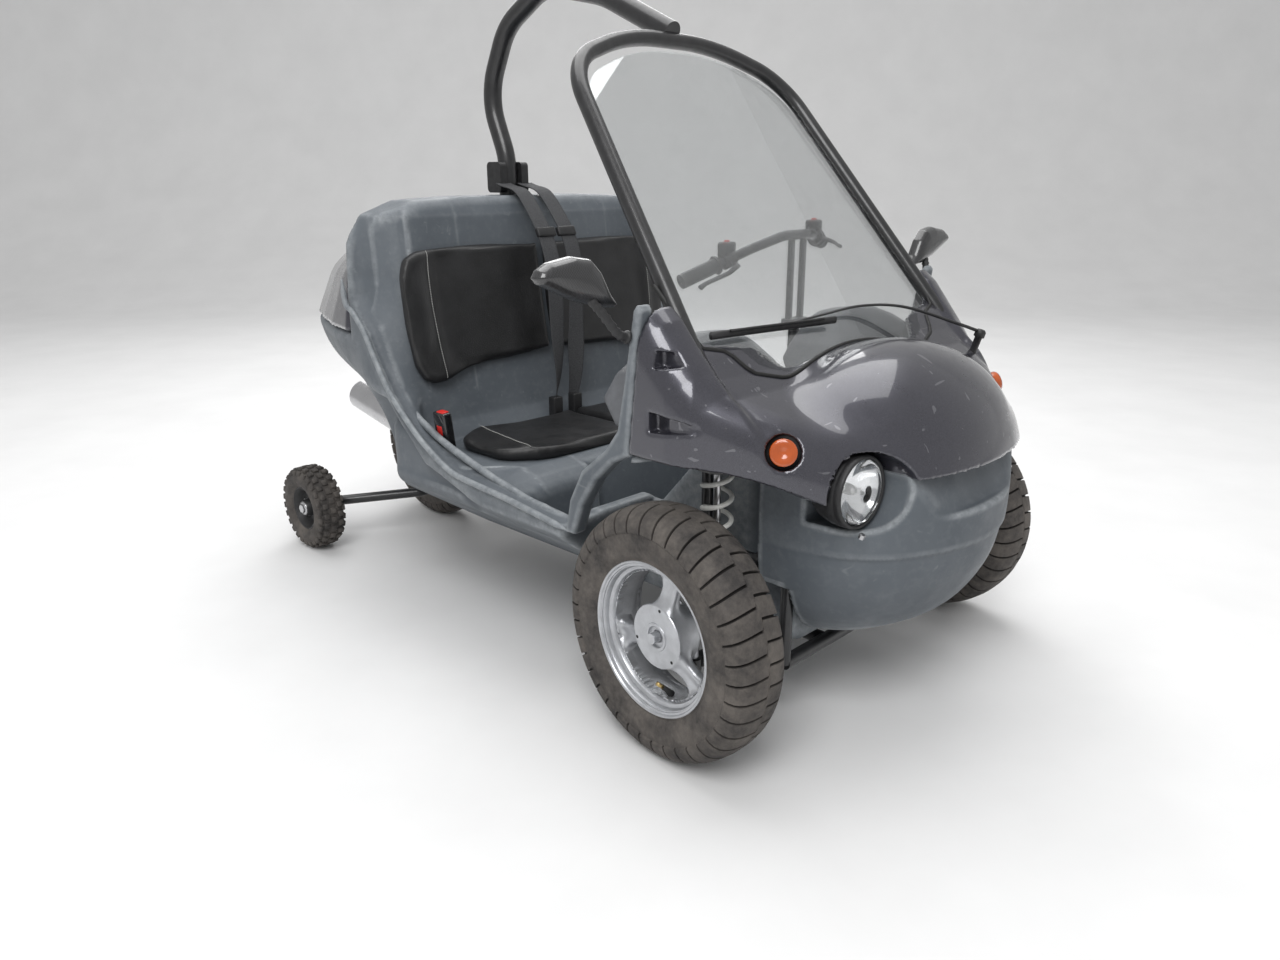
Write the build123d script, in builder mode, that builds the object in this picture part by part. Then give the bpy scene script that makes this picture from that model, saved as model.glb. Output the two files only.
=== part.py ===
from build123d import *
import os
from math import cos, radians, sin

# Open two-seat three-wheeler: two steered wheels in front, one driven wheel behind, two small
# stabiliser wheels on arms. It faces -Y, +X is its left, +Z is up. The origin is on the ground,
# below the middle of the overall length. Everything is in millimetres.

# Overall driving dimensions
WHEELBASE = 1445.0
TRACK = 952.0
NOSE_OVERHANG = 359.0
TAIL_END = 1700.0
TYRE_RADIUS = 240.0
TYRE_HALF_WIDTH = 62.0
REAR_TYRE_RADIUS = 222.0
REAR_TYRE_HALF_WIDTH = 50.0
BODY_HALF_WIDTH = 500.0
FRONT_AXLE_Y = (NOSE_OVERHANG - TAIL_END) / 2
REAR_AXLE_Y = FRONT_AXLE_Y + WHEELBASE
AXLE_HEIGHT = TYRE_RADIUS
FIT = 0.3
SIDES = {"left": 1, "right": -1}

# Windscreen hoop: a slanted plane that bows back towards its sides
HOOP_DIAMETER = 33.0
HOOP_RADII = [150.0, 480.0]
GLASS_SLOPE = Vector(0, 0.835, 1).normalized()
GLASS_BOW_RADIUS = 4250.0
GLASS_THICKNESS = 4.0

# Spine roll bar
ROLL_BAR_DIAMETER = 47.0
ROLL_BAR_BASE_HEIGHT = 470.0
ROLL_BAR_Y = 1030.0

# Tub
TUB_WALL = 12.0
BENCH_HEIGHT = 415.0
SEAT_BACK_FACE = 880.0
TUB_TOP = 980.0
FLOOR_HEIGHT = 175.0
TUNNEL_HALF_WIDTH = 240.0
ARCH_RADIUS = 300.0
ARCH_CENTRE_HEIGHT = 255.0
PILLAR_FOOT = (90.0, 560.0)
PILLAR_TOP = (60.0, 812.0)
COVER_FRONT = 1065.0
COVER_SPLIT_HEIGHT = 670.0

# Headlights
LAMP_X = 267.0
LAMP_HEIGHT = 513.0
LAMP_FACE = -243.0
LENS_RADIUS = 59.0
BOWL_RADIUS = 65.0
EYEBROW_GAP = 8.0
BOWL_DEPTH = 95.0

# Seats and belts
BACKREST_WIDTH = 424.0
CUSHION_THICKNESS = 50.0
CUSHION_GAP = 6.0
WEBBING_WIDTH = 47.0
WEBBING_THICKNESS = 2.0

# Steering
COLUMN_X = 200.0
COLUMN_STATION = 243.0
COLUMN_TOP = 890.0
BAR_DIAMETER = 22.0
BAR_BORE = 16.0
BAR_BORE_DEPTH = 40.0
GRIP_DIAMETER = 32.0
GRIP_LENGTH = 95.0
KINGPIN_X = 420.0
KINGPIN_DIAMETER = 24.0
STEER_AT_REST = 4.5
AXLE_DIAMETER = 20.0

# Front suspension
CROSS_TUBE_DIAMETER = 28.0
CROSS_TUBE_HEIGHT = 132.0
CROSS_TUBE_STATION = 100.0
RAIL_X = 125.0
RAIL_END = 1340.0
TOWER_X = 265.0
TOWER_DIAMETER = 25.0
TOWER_TOP = 512.0
UPPER_ARM_HEIGHT = 325.0
LOWER_ARM_HEIGHT = 155.0
ARM_DIAMETER = 20.0
SPRING_X = 357.0
SPRING_RADIUS = 27.0
SPRING_WIRE = 9.0
SPRING_TOP = 520.0
SPRING_BOTTOM = 215.0
SPRING_TURNS = 7

# Engine
ENGINE_BOTTOM = 200.0
ENGINE_CROSS_TUBE = 1120.0
ENGINE_REAR = 1180.0

# Tail lamps
TAIL_LAMP_X = 68.0
TAIL_LAMP_HEIGHT = 648.0
TAIL_LAMP_DIAMETER = 34.0
TAIL_LAMP_DEPTH = 11.0

# Stabiliser wheels
SMALL_WHEEL_RADIUS = 120.0
SMALL_WHEEL_X = 430.0
SMALL_WHEEL_STATION = 1450.0
OUTRIGGER_DIAMETER = 28.0

# The tub lies on the frame tubes
BELLY_HEIGHT = CROSS_TUBE_HEIGHT + CROSS_TUBE_DIAMETER / 2 + FIT


def aft(distance):
    """The Y of a station given as a distance behind the front axle."""
    return FRONT_AXLE_Y + distance


def stations(pairs):
    """(behind the front axle, height) pairs as points of a side view."""
    return [(aft(behind), height) for behind, height in pairs]


def both_sides(half):
    """A half outline and its mirror image, in running order."""
    return [(x, v) for x, v in half] + [(-x, v) for x, v in reversed(half)]


def outline(plane, corners, radii=0.0):
    """A closed face with rounded corners, on the plane."""
    with BuildSketch(plane) as face:
        with BuildLine():
            FilletPolyline(*corners, radius=radii, close=True)
        make_face()
    return face.sketch


def symmetric_plan(half, radii):
    """A plan outline from (x, behind the front axle) corners of its left half."""
    return outline(Plane.XY, both_sides([(x, aft(y)) for x, y in half]), radii + radii[::-1])


def crossing(plan, side, half_width):
    """What a plan outline raised from the ground and a side outline spread in X have in common."""
    with BuildPart() as body:
        extrude(plan, amount=1200)
        extrude(side, amount=half_width, both=True, mode=Mode.INTERSECT)
    return body.part


def crossing_front(front, side):
    """What a front outline spread in Y and a side outline spread in X have in common."""
    with BuildPart() as body:
        extrude(outline(Plane.XZ, front), amount=2500, both=True)
        extrude(outline(Plane.YZ, stations(side)), amount=BODY_HALF_WIDTH, both=True, mode=Mode.INTERSECT)
    return body.part


def tube(corners, radii, diameter):
    """A round bar along straight runs joined by tangent arcs."""
    with BuildPart() as bar:
        with BuildLine() as path:
            FilletPolyline(*corners, radius=radii)
        with BuildSketch(path.line ^ 0):
            Circle(diameter / 2)
        sweep(path=path.line)
    return bar.part


def rod(start, end, diameter):
    """A straight round bar between two points."""
    along = Vector(*end) - Vector(*start)
    with BuildPart() as bar:
        with BuildSketch(Plane(origin=start, z_dir=along)):
            Circle(diameter / 2)
        extrude(amount=along.length)
    return bar.part


def turned(centre, direction, profile, radii=0.0):
    """A ring or disc: an outline of (along the axis, radius) corners revolved about the axis."""
    axis = Axis(centre, direction)
    across = (0, 0, 1) if abs(axis.direction.Z) < 0.5 else (0, 1, 0)
    section = Plane(origin=centre, x_dir=direction, z_dir=axis.direction.cross(Vector(*across)))
    with BuildPart() as body:
        revolve(outline(section, profile, radii), axis=axis)
    return body.part


def lamp_bores(radius, front_from):
    """Round bores along Y for both headlights, from a station forward."""
    with BuildPart() as bores:
        with BuildSketch(Plane.XZ.offset(-aft(front_from))):
            with Locations((LAMP_X, LAMP_HEIGHT), (-LAMP_X, LAMP_HEIGHT)):
                Circle(radius)
        extrude(amount=400)
    return bores.part


def write(piece, name):
    """Labels a finished piece and writes its file."""
    piece.part.label = name
    export_step(piece.part, f"parts/{name}.step")


os.makedirs("parts", exist_ok=True)

# The hoop is needed first, because the cowl and the glass are cut to it
hoop_half = [(438, aft(-85), 625), (333, aft(405), 1237), (130, aft(453), 1303)]
hoop_corners = hoop_half + [(-x, y, z) for x, y, z in reversed(hoop_half)]
hoop_radii = HOOP_RADII + HOOP_RADII[::-1]
hoop_solid = tube(hoop_corners, hoop_radii, HOOP_DIAMETER)
hoop_passage = tube(hoop_corners, hoop_radii, HOOP_DIAMETER + 2 * FIT)
with BuildPart() as windscreen_frame:
    add(hoop_solid)

roll_bar_corners = [
    (0, aft(ROLL_BAR_Y), ROLL_BAR_BASE_HEIGHT), (0, aft(ROLL_BAR_Y), 1075), (0, aft(1095), 1225),
    (0, aft(1010), 1382), (0, aft(855), 1460), (0, aft(655), 1415), (0, aft(448), 1318),
]
with BuildPart() as roll_bar:
    add(tube(roll_bar_corners, [150, 150, 150, 150, 300], ROLL_BAR_DIAMETER))
    add(hoop_solid, mode=Mode.SUBTRACT)

# Body tub: side outlines at three distances from the middle plane, one corner a row
TUB_X = (436.0, 450.0, BODY_HALF_WIDTH)
TUB_CORNERS = [
    # (behind the front axle, height) at the seat, on the inner ridge and at the outer edge, then their radii
    ((-100, BELLY_HEIGHT), (-100, 317), (-100, 325), (40, 40, 40)),
    ((900, BELLY_HEIGHT), (640, 320), (600, 340), (120, 90, 60)),
    ((1120, 330), (820, 395), (780, 410), (90, 60, 60)),
    ((1180, 520), (920, 500), (880, 515), (60, 60, 60)),
    ((1420, 540), (1240, 548), (1240, 566), (80, 80, 80)),
    ((TAIL_END, 625), (TAIL_END, 625), (TAIL_END, 625), (10, 10, 10)),
    ((TAIL_END, COVER_SPLIT_HEIGHT), (TAIL_END, COVER_SPLIT_HEIGHT), (TAIL_END, COVER_SPLIT_HEIGHT), (5, 5, 5)),
    ((COVER_FRONT, COVER_SPLIT_HEIGHT),) * 3 + ((0, 0, 0),),
    ((COVER_FRONT, TUB_TOP), (COVER_FRONT, 925), (COVER_FRONT, 800), (40, 20, 4)),
    ((945, TUB_TOP), (1005, 925), (1045, 800), (40, 30, 8)),
    ((SEAT_BACK_FACE, 548), (943, 590), (900, 600), (60, 60, 80)),
    ((835, BENCH_HEIGHT), (840, 497), (766, 472), (30, 60, 90)),
    ((520, BENCH_HEIGHT), (574, 415), (637, 413), (50, 60, 60)),
    ((450, 380), (422, 384), (447, 399), (60, 60, 60)),
    ((250, 378), (250, 378), (250, 378), (20, 20, 20)),
    (PILLAR_FOOT,) * 3 + ((5, 5, 5),),
    ((-100, 545),) * 3 + ((5, 5, 5),),
]
TUB_FRONT = [(200, BELLY_HEIGHT), (470, 330), (500, 345), (500, 790), (470, 925), (330, TUB_TOP + 5)]
TUB_PLAN = [
    (TUNNEL_HALF_WIDTH, -100), (TUNNEL_HALF_WIDTH, 40), (500, 70), (500, 985), (450, 1200), (352, 1455),
    (225, 1625), (110, TAIL_END),
]
FOOTWELL = [(-88, FLOOR_HEIGHT), (440, FLOOR_HEIGHT), (490, 400), (520, 700), (-88, 700)]
FOOT_SPACE = [(315, FLOOR_HEIGHT), (440, FLOOR_HEIGHT), (455, 400), (455, 700), (315, 700)]
UNDER_BENCH = [(560, 162), (830, 162), (830, 403), (560, 403)]
ENGINE_BAY = [
    (900, 100), (900, 400), (925, 545), (985, 968), (1053, 968), (1053, 700), (1600, 700), (1600, 100),
]
CABIN_INNER_FRONT = [(199, 161), (436, 322), (436, 1200)]
TAIL_INNER_PLAN = [
    (370, 900), (370, 1075), (460, 1090), (438, 1196), (341, 1448), (217, 1614), (107, TAIL_END - 14),
]
TAIL_INNER_SIDE = [
    (935, 620), (985, 968), (1053, 968), (1053, 700), (TAIL_END - 14, 700), (TAIL_END - 14, 652), (1415, 605),
    (1170, 585), (1100, 620),
]


def tub_side(column, offset):
    """One side outline of the tub, on a plane at its distance from the middle."""
    corners = stations([row[column] for row in TUB_CORNERS])
    return outline(Plane.YZ.offset(offset), corners, [row[3][column] for row in TUB_CORNERS])


tail_hollow = crossing(
    symmetric_plan(TAIL_INNER_PLAN, [0, 0, 20, 400, 300, 140, 50]),
    outline(Plane.YZ, stations(TAIL_INNER_SIDE)), BODY_HALF_WIDTH,
)
with BuildPart() as cabin_hollow:
    # Footwell, narrow between the arches, wide behind them, and the space below the bench
    footwell = outline(Plane.YZ, stations(FOOTWELL), [20, 60, 40, 0, 0])
    extrude(footwell, amount=TUNNEL_HALF_WIDTH - TUB_WALL, both=True)
    extrude(outline(Plane.YZ, stations(FOOT_SPACE)), amount=BODY_HALF_WIDTH, both=True)
    extrude(outline(Plane.YZ, stations(UNDER_BENCH)), amount=380, both=True)
    extrude(outline(Plane.XZ, both_sides(CABIN_INNER_FRONT)), amount=2500, both=True, mode=Mode.INTERSECT)
with BuildPart() as body_tub:
    extrude(tub_side(0, 0), amount=TUB_X[0], both=True)
    for side in SIDES.values():
        for column, (inner_x, outer_x) in enumerate(zip(TUB_X, TUB_X[1:]), start=1):
            extrude(tub_side(column, side * inner_x), amount=side * (outer_x - inner_x))
    extrude(
        outline(Plane.XZ, both_sides(TUB_FRONT), [40, 10, 10, 60, 80, 60, 60, 80, 60, 10, 10, 40]),
        amount=2500, both=True, mode=Mode.INTERSECT,
    )
    tub_plan = symmetric_plan(TUB_PLAN, [0, 60, 20, 300, 400, 300, 150, 60])
    extrude(tub_plan, amount=1500, mode=Mode.INTERSECT)
    # Pillar strips that frame the rear edge of the cowl
    for side in SIDES.values():
        pillar = stations([PILLAR_FOOT, PILLAR_TOP, (95, 800), (135, 530), (110, 520)])
        extrude(outline(Plane.YZ.offset(side * (BODY_HALF_WIDTH - 30)), pillar), amount=side * 30)
    add(cabin_hollow.part, mode=Mode.SUBTRACT)
    # Engine bay, open below for the rear wheel
    extrude(outline(Plane.YZ, stations(ENGINE_BAY)), amount=200, both=True, mode=Mode.SUBTRACT)
    add(tail_hollow, mode=Mode.SUBTRACT)
    # Wheel arches
    for side in SIDES.values():
        with BuildSketch(Plane.YZ.offset(side * TUNNEL_HALF_WIDTH)):
            with Locations((aft(0), ARCH_CENTRE_HEIGHT)):
                Circle(ARCH_RADIUS)
            with Locations((aft(0), ARCH_CENTRE_HEIGHT - 150)):
                Rectangle(2 * ARCH_RADIUS, 300)
        extrude(amount=side * 400, mode=Mode.SUBTRACT)
    # Sockets of the roll bar and the tail lamps
    add(tube(roll_bar_corners[:3], [150], ROLL_BAR_DIAMETER + 2 * FIT), mode=Mode.SUBTRACT)
    for side in SIDES.values():
        socket_ends = (TAIL_END - TAIL_LAMP_DEPTH - FIT, TAIL_END + 5)
        socket = [(side * TAIL_LAMP_X, aft(y), TAIL_LAMP_HEIGHT) for y in socket_ends]
        add(rod(*socket, TAIL_LAMP_DIAMETER + 2 * FIT), mode=Mode.SUBTRACT)

# Nose bumper: a loft of bowed plan sections, hollow from behind, with a bore for each headlight
BUMPER_HALF_WIDTH = 300.0
BUMPER_WALL = 6.0
BUMPER_REAR = -50.0
BUMPER_TOP = 544.7
BUMPER_CUTAWAY = 300.0
BUMPER_SECTIONS = [
    # height, half width, foremost point
    (165, 170, -180), (220, 250, -275), (300, 290, -330), (380, 298, -350), (460, 300, -353),
    (BUMPER_TOP, 296, -350),
]
BUMPER_LIP = 4.0
BUMPER_LIP_SECTIONS = [(385, 298, -350), (460, 300, -353), (BUMPER_TOP, 296, -350)]
PLATE_RECESS = [(200, 545), (200, 489), (150, 455), (-150, 455), (-200, 489), (-200, 545)]
PLATE_RECESS_SIDE = [(-400, 450), (-338, 455), (-300, 545), (-400, 545)]


def bumper_plan(height, half_width, tip, inset=0.0):
    """A plan section of the nose: straight sides, round corners and a bowed front."""
    edge = half_width - inset
    size = edge / BUMPER_HALF_WIDTH
    rear = BUMPER_REAR if inset <= 0 else BUMPER_REAR + 40
    corner = tip + inset + 126.9 * size
    apex = tip + inset - 86.4 * size
    corners = [(edge, rear), (edge, corner), (0, apex), (-edge, corner), (-edge, rear)]
    radii = [0, 186 * size, 372 * size, 186 * size, 0]
    return outline(Plane.XY.offset(height), [(x, aft(y)) for x, y in corners], radii)


with BuildPart() as front_bumper:
    loft([bumper_plan(*row) for row in BUMPER_SECTIONS])
    loft([bumper_plan(*row, inset=-BUMPER_LIP) for row in BUMPER_LIP_SECTIONS])
    inner_rows = []
    for height, half_width, tip in BUMPER_SECTIONS:
        inner_rows.append((min(height + BUMPER_WALL, BUMPER_TOP - BUMPER_WALL), half_width, tip))
    loft([bumper_plan(*row, inset=BUMPER_WALL) for row in inner_rows], mode=Mode.SUBTRACT)
    # Recess for the number plate, with a shelf above it
    add(crossing_front(PLATE_RECESS, PLATE_RECESS_SIDE), mode=Mode.SUBTRACT)
    add(lamp_bores(BOWL_RADIUS + EYEBROW_GAP, -90), mode=Mode.SUBTRACT)
    # Room for the spring towers: above the shoulders, and below the lower rear edge
    for low, high in ((500, 560), (100, BUMPER_CUTAWAY)):
        with BuildSketch(Plane.XY.offset(low)):
            with Locations((0, aft(-85))):
                Rectangle(620, 80)
        extrude(amount=high - low, mode=Mode.SUBTRACT)

# Planes of the windscreen, and the outline of its glass as seen square on
glass_origin = (0, aft(32), 800)
glass_plane = Plane(origin=glass_origin, x_dir=(1, 0, 0), z_dir=Vector(1, 0, 0).cross(GLASS_SLOPE))
slope_plane = Plane(origin=glass_origin, x_dir=(1, 0, 0), z_dir=GLASS_SLOPE)
glass_half = [(110, 688), (200, 684), (310, 722), (415, 772), (333, 1237), (130, 1303)]
GLASS_RADII = [0, 0, 0, 0, 150, 480, 480, 150, 0, 0, 0, 0]


def glass_outline(below, inset):
    """The glass's outline, cut back from the hoop's centre line, with its lower edge moved down."""
    corners = [(x, (z - below - 800) / GLASS_SLOPE.Z) for x, z in glass_half]
    with BuildSketch(glass_plane) as face:
        with BuildLine():
            FilletPolyline(*both_sides(corners), radius=GLASS_RADII, close=True)
        make_face()
        if inset:
            offset(amount=-inset, kind=Kind.INTERSECTION, mode=Mode.REPLACE)
    return face.sketch


# Cowl over the nose: a loft with round shoulders, with the hump of the bonnet grown out of it
COWL_SECTIONS = [
    # behind the front axle, half width, height, shoulder radius
    (95, 500, 845, 40), (30, 500, 797, 45), (0, 498, 745, 50), (-67, 472, 674, 50), (-150, 414, 643, 45),
    (-250, 300, 601, 30), (-345, 120, 558, 8),
]
COWL_WALL = 5.0
COWL_TRIM = [(89.4, 562), (59.4, 814), (59.4, 900), (-400, 900), (-400, 545), (-200, 545)]
HUMP_STATION = -130.0
HUMP_HEIGHT = 511.0
HUMP_HALF_WIDTH = 330.0
HUMP_RADIUS = 219.0
SCREEN_OPENING = [(-200, 500), (134, 900), (300, 900), (300, 500)]
SCREEN_OPENING_HALF_WIDTH = 430.0
# Side vents, pointed in front: rear edge, foremost point, height of the middle, half height
VENTS = [(32, -44, 737, 15), (40, -62, 629, 18)]
INDICATOR_PLACE = (396.0, -172.0, 596.0)
INDICATOR_RADIUS = 29.0
INDICATOR_DEPTHS = (-28.0, 6.0)
WIPER_PIVOT = (395.0, -110.0)
WIPER_PIVOT_DIAMETER = 16.0


def indicator_rod(side, depths, diameter):
    """A round bar along the axis of an indicator, square to the shoulder of the cowl."""
    x, station, height = INDICATOR_PLACE
    ends = [(side * (x + 0.76 * d), aft(station - 0.6 * d), height + 0.25 * d) for d in depths]
    return rod(*ends, diameter)


def cowl_form(inset):
    """The cowl's outer form, or its inner form when inset by the wall."""
    foremost = COWL_SECTIONS[-1][0] + inset
    sections = []
    for behind, half_width, height, shoulder in COWL_SECTIONS:
        half = [(half_width - inset, 500), (half_width - inset, height - inset)]
        plane = Plane.XZ.offset(-aft(max(behind, foremost)))
        sections.append(outline(plane, both_sides(half), [0, shoulder, shoulder, 0]))
    with BuildPart() as form:
        loft(sections, ruled=True)
        with BuildSketch(Plane.XZ.offset(-aft(HUMP_STATION))):
            with Locations((0, HUMP_HEIGHT)):
                Ellipse(HUMP_HALF_WIDTH - inset, HUMP_RADIUS - inset)
            with Locations((0, HUMP_HEIGHT - HUMP_RADIUS)):
                Rectangle(2 * HUMP_HALF_WIDTH, 2 * HUMP_RADIUS, mode=Mode.SUBTRACT)
        revolve(axis=Axis((0, aft(HUMP_STATION), HUMP_HEIGHT), (1, 0, 0)))
    return form.part


with BuildPart() as front_cowl:
    add(cowl_form(0))
    add(cowl_form(COWL_WALL), mode=Mode.SUBTRACT)
    extrude(outline(Plane.YZ, stations(COWL_TRIM)), amount=BODY_HALF_WIDTH + 5, both=True, mode=Mode.INTERSECT)
    extrude(
        outline(Plane.YZ, stations(SCREEN_OPENING)), amount=SCREEN_OPENING_HALF_WIDTH, both=True,
        mode=Mode.SUBTRACT,
    )
    add(hoop_passage, mode=Mode.SUBTRACT)
    extrude(glass_outline(FIT, 0), amount=30, both=True, mode=Mode.SUBTRACT)
    add(lamp_bores(BOWL_RADIUS + EYEBROW_GAP, -150), mode=Mode.SUBTRACT)
    for side in SIDES.values():
        for rear, tip, middle, half_height in VENTS:
            vent = stations([(rear, middle - half_height), (rear, middle + half_height), (tip, middle)])
            extrude(outline(Plane.YZ.offset(side * 440), vent, [4, 4, 5]), amount=side * 80, mode=Mode.SUBTRACT)
        add(indicator_rod(side, (-60, 60), 2 * (INDICATOR_RADIUS + FIT)), mode=Mode.SUBTRACT)
    pivot_hole = [(WIPER_PIVOT[0], aft(WIPER_PIVOT[1]), z) for z in (600, 720)]
    add(rod(*pivot_hole, WIPER_PIVOT_DIAMETER + 2 * FIT), mode=Mode.SUBTRACT)

# Headlights: a deep black bowl and a domed lens on each side
with BuildPart() as headlight_bowls:
    for side in SIDES.values():
        bowl = [(0, 0), (0, BOWL_RADIUS), (30, BOWL_RADIUS), (BOWL_DEPTH, 30), (BOWL_DEPTH, 0)]
        add(turned((side * LAMP_X, aft(LAMP_FACE), LAMP_HEIGHT), (0, 1, 0), bowl))
        # Stud at the back that bolts to the front leg of the spring tower
        stud_end = -CROSS_TUBE_STATION - TOWER_DIAMETER / 2 - FIT
        stud_start = LAMP_FACE + BOWL_DEPTH - 5
        stud = [(side * TOWER_X, aft(y), LAMP_HEIGHT - 20) for y in (stud_start, stud_end)]
        add(rod(*stud, 16))
        with BuildSketch(Plane(origin=(side * LAMP_X, aft(LAMP_FACE), LAMP_HEIGHT), z_dir=(0, 1, 0))):
            Circle(LENS_RADIUS + FIT)
        extrude(amount=25, mode=Mode.SUBTRACT)
with BuildPart() as headlight_lenses:
    for side in SIDES.values():
        lens = [(-10, 0), (-8, LENS_RADIUS / 2), (0, LENS_RADIUS), (24, LENS_RADIUS), (24, 0)]
        add(turned((side * LAMP_X, aft(LAMP_FACE), LAMP_HEIGHT), (0, 1, 0), lens))

# Bowed glass inside the hoop
with BuildPart() as windscreen:
    with BuildSketch(slope_plane):
        with Locations((0, GLASS_BOW_RADIUS)):
            Circle(GLASS_BOW_RADIUS)
            Circle(GLASS_BOW_RADIUS - GLASS_THICKNESS, mode=Mode.SUBTRACT)
        Rectangle(900, 200, mode=Mode.INTERSECT)
    extrude(amount=800, both=True)
    glass_edge = glass_outline(HOOP_DIAMETER / 2 * GLASS_SLOPE.Z, HOOP_DIAMETER / 2 + FIT)
    extrude(glass_edge, amount=200, both=True, mode=Mode.INTERSECT)
    add(hoop_passage, mode=Mode.SUBTRACT)

# Glossy cover over the engine: a loft that falls and narrows to the tail
COVER_WALL = 5.0
COVER_SECTIONS = [
    # behind the front axle, half width at the split line, height
    (COVER_FRONT + FIT, 479, 955), (1200, 449, 925), (1330, 402, 890), (1450, 353, 846), (1560, 283, 790),
    (1640, 204, 735), (TAIL_END, 100, 682),
]


def cover_section(behind, half_width, height, base):
    """A cross-section of the cover: upright at the split line, then round over the top."""
    rise = height - base
    half = [(half_width, base), (half_width, base + 0.55 * rise), (0.62 * half_width, height)]
    radius = 0.5 * rise
    return outline(Plane.XZ.offset(-aft(behind)), both_sides(half), [0, radius, radius, radius, radius, 0])


with BuildPart() as engine_cover:
    base_height = COVER_SPLIT_HEIGHT + FIT
    loft([cover_section(*row, base_height) for row in COVER_SECTIONS])
    inner_rows = []
    for behind, half_width, height in COVER_SECTIONS:
        place = min(max(behind, COVER_FRONT + 5), TAIL_END - COVER_WALL)
        inner_rows.append((place, half_width - COVER_WALL, height - COVER_WALL))
    inner_rows[0] = (COVER_FRONT - 2, *inner_rows[0][1:])
    loft([cover_section(*row, base_height - 1) for row in inner_rows], mode=Mode.SUBTRACT)

# Seats and belts, one of each on both sides of the middle
BACKREST_PROFILE = [(826, 556), (879.8, 549), (927.8, 868), (856, 873)]
CUSHION_PLAN = [(6, 530), (300, 530), (395, 600), (395, 760), (330, 805), (6, 805)]
BELT_RUN = [(1001.5, 1012.5), (930, 996), (838, 890), (812, 800), (812, 520), (828, 468)]
backrests, cushions = {}, {}
for label, side in SIDES.items():
    with BuildPart() as backrests[label]:
        backrest_plane = Plane.YZ.offset(side * CUSHION_GAP)
        backrest_side = outline(backrest_plane, stations(BACKREST_PROFILE), [22, 14, 14, 22])
        extrude(backrest_side, amount=side * BACKREST_WIDTH)
    with BuildPart() as cushions[label]:
        cushion_plan = [(side * x, aft(y)) for x, y in CUSHION_PLAN]
        cushion_face = outline(Plane.XY.offset(BENCH_HEIGHT + FIT), cushion_plan, [15, 60, 60, 60, 40, 15])
        extrude(cushion_face, amount=CUSHION_THICKNESS, dir=(0, 0, 1))
with BuildPart() as seat_belts:
    for side in SIDES.values():
        with BuildSketch(Plane.YZ.offset(side * 8)):
            with BuildLine():
                FilletPolyline(*stations(BELT_RUN), radius=[25, 60, 40, 20])
            trace(line_width=WEBBING_THICKNESS)
        extrude(amount=side * WEBBING_WIDTH)

with BuildPart() as belt_buckles:
    for side in SIDES.values():
        with BuildSketch(Plane.XY.offset(BENCH_HEIGHT + FIT)):
            with Locations((side * 422, aft(760))):
                RectangleRounded(24, 45, 6)
        extrude(amount=100)

with BuildPart() as belt_top_covers:
    for side in SIDES.values():
        with BuildSketch(Plane.YZ.offset(side * (ROLL_BAR_DIAMETER / 2 + FIT))):
            with Locations((aft(ROLL_BAR_Y), 1025)):
                RectangleRounded(56, 76, 12)
        extrude(amount=side * 22)

# Dash pods behind the windscreen, and a rounded binnacle round the column
POD_PROFILE = [(20, 590), (160, 590), (200, 640), (175, 740), (110, 757), (60, 690)]
with BuildPart() as dash_pods:
    for side in SIDES.values():
        pod_side = outline(Plane.YZ.offset(side * 70), stations(POD_PROFILE), [5, 30, 30, 30, 30, 20])
        extrude(pod_side, amount=side * (400 - FIT))

# Steering column and handlebar in front of the left seat
with BuildPart() as steering_column:
    add(rod((COLUMN_X, aft(COLUMN_STATION), FLOOR_HEIGHT + FIT), (COLUMN_X, aft(COLUMN_STATION), 700), 26))
    with BuildSketch(Plane.XY.offset(700)):
        with Locations((COLUMN_X, aft(COLUMN_STATION))):
            RectangleRounded(72, 30, 10)
    extrude(amount=14)
    for offset_x in (-22, 22):
        foot = (COLUMN_X + offset_x, aft(COLUMN_STATION), 714)
        add(rod(foot, (COLUMN_X + offset_x, aft(COLUMN_STATION), COLUMN_TOP), 16))
bar_corners = [
    (COLUMN_X - 290, aft(335), 812), (COLUMN_X - 120, aft(280), 875),
    (COLUMN_X - 55, aft(COLUMN_STATION), COLUMN_TOP + BAR_DIAMETER / 2),
    (COLUMN_X + 55, aft(COLUMN_STATION), COLUMN_TOP + BAR_DIAMETER / 2),
    (COLUMN_X + 120, aft(280), 890), (COLUMN_X + 230, aft(335), 870),
]
with BuildPart() as handlebar:
    add(tube(bar_corners, [60, 40, 40, 60], BAR_DIAMETER))
    for end, inner in ((bar_corners[0], bar_corners[1]), (bar_corners[-1], bar_corners[-2])):
        inward = (Vector(*inner) - Vector(*end)).normalized()
        flange = Vector(*end) + inward * GRIP_LENGTH
        add(rod(end, flange, GRIP_DIAMETER))
        add(rod(flange - inward * 4, flange, GRIP_DIAMETER + 10))
        add(rod(end, Vector(*end) + inward * BAR_BORE_DEPTH, BAR_BORE), mode=Mode.SUBTRACT)

# Front knuckles, turned to the parked steering angle, with their stub axles
def outboard(side):
    """The direction of a front axle away from the car, at the parked steering angle."""
    return Vector(side * cos(radians(STEER_AT_REST)), -side * sin(radians(STEER_AT_REST)), 0)


wheel_offset = (TRACK / 2 - KINGPIN_X) / cos(radians(STEER_AT_REST))
rear_centre = Vector(0, REAR_AXLE_Y, REAR_TYRE_RADIUS)
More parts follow.
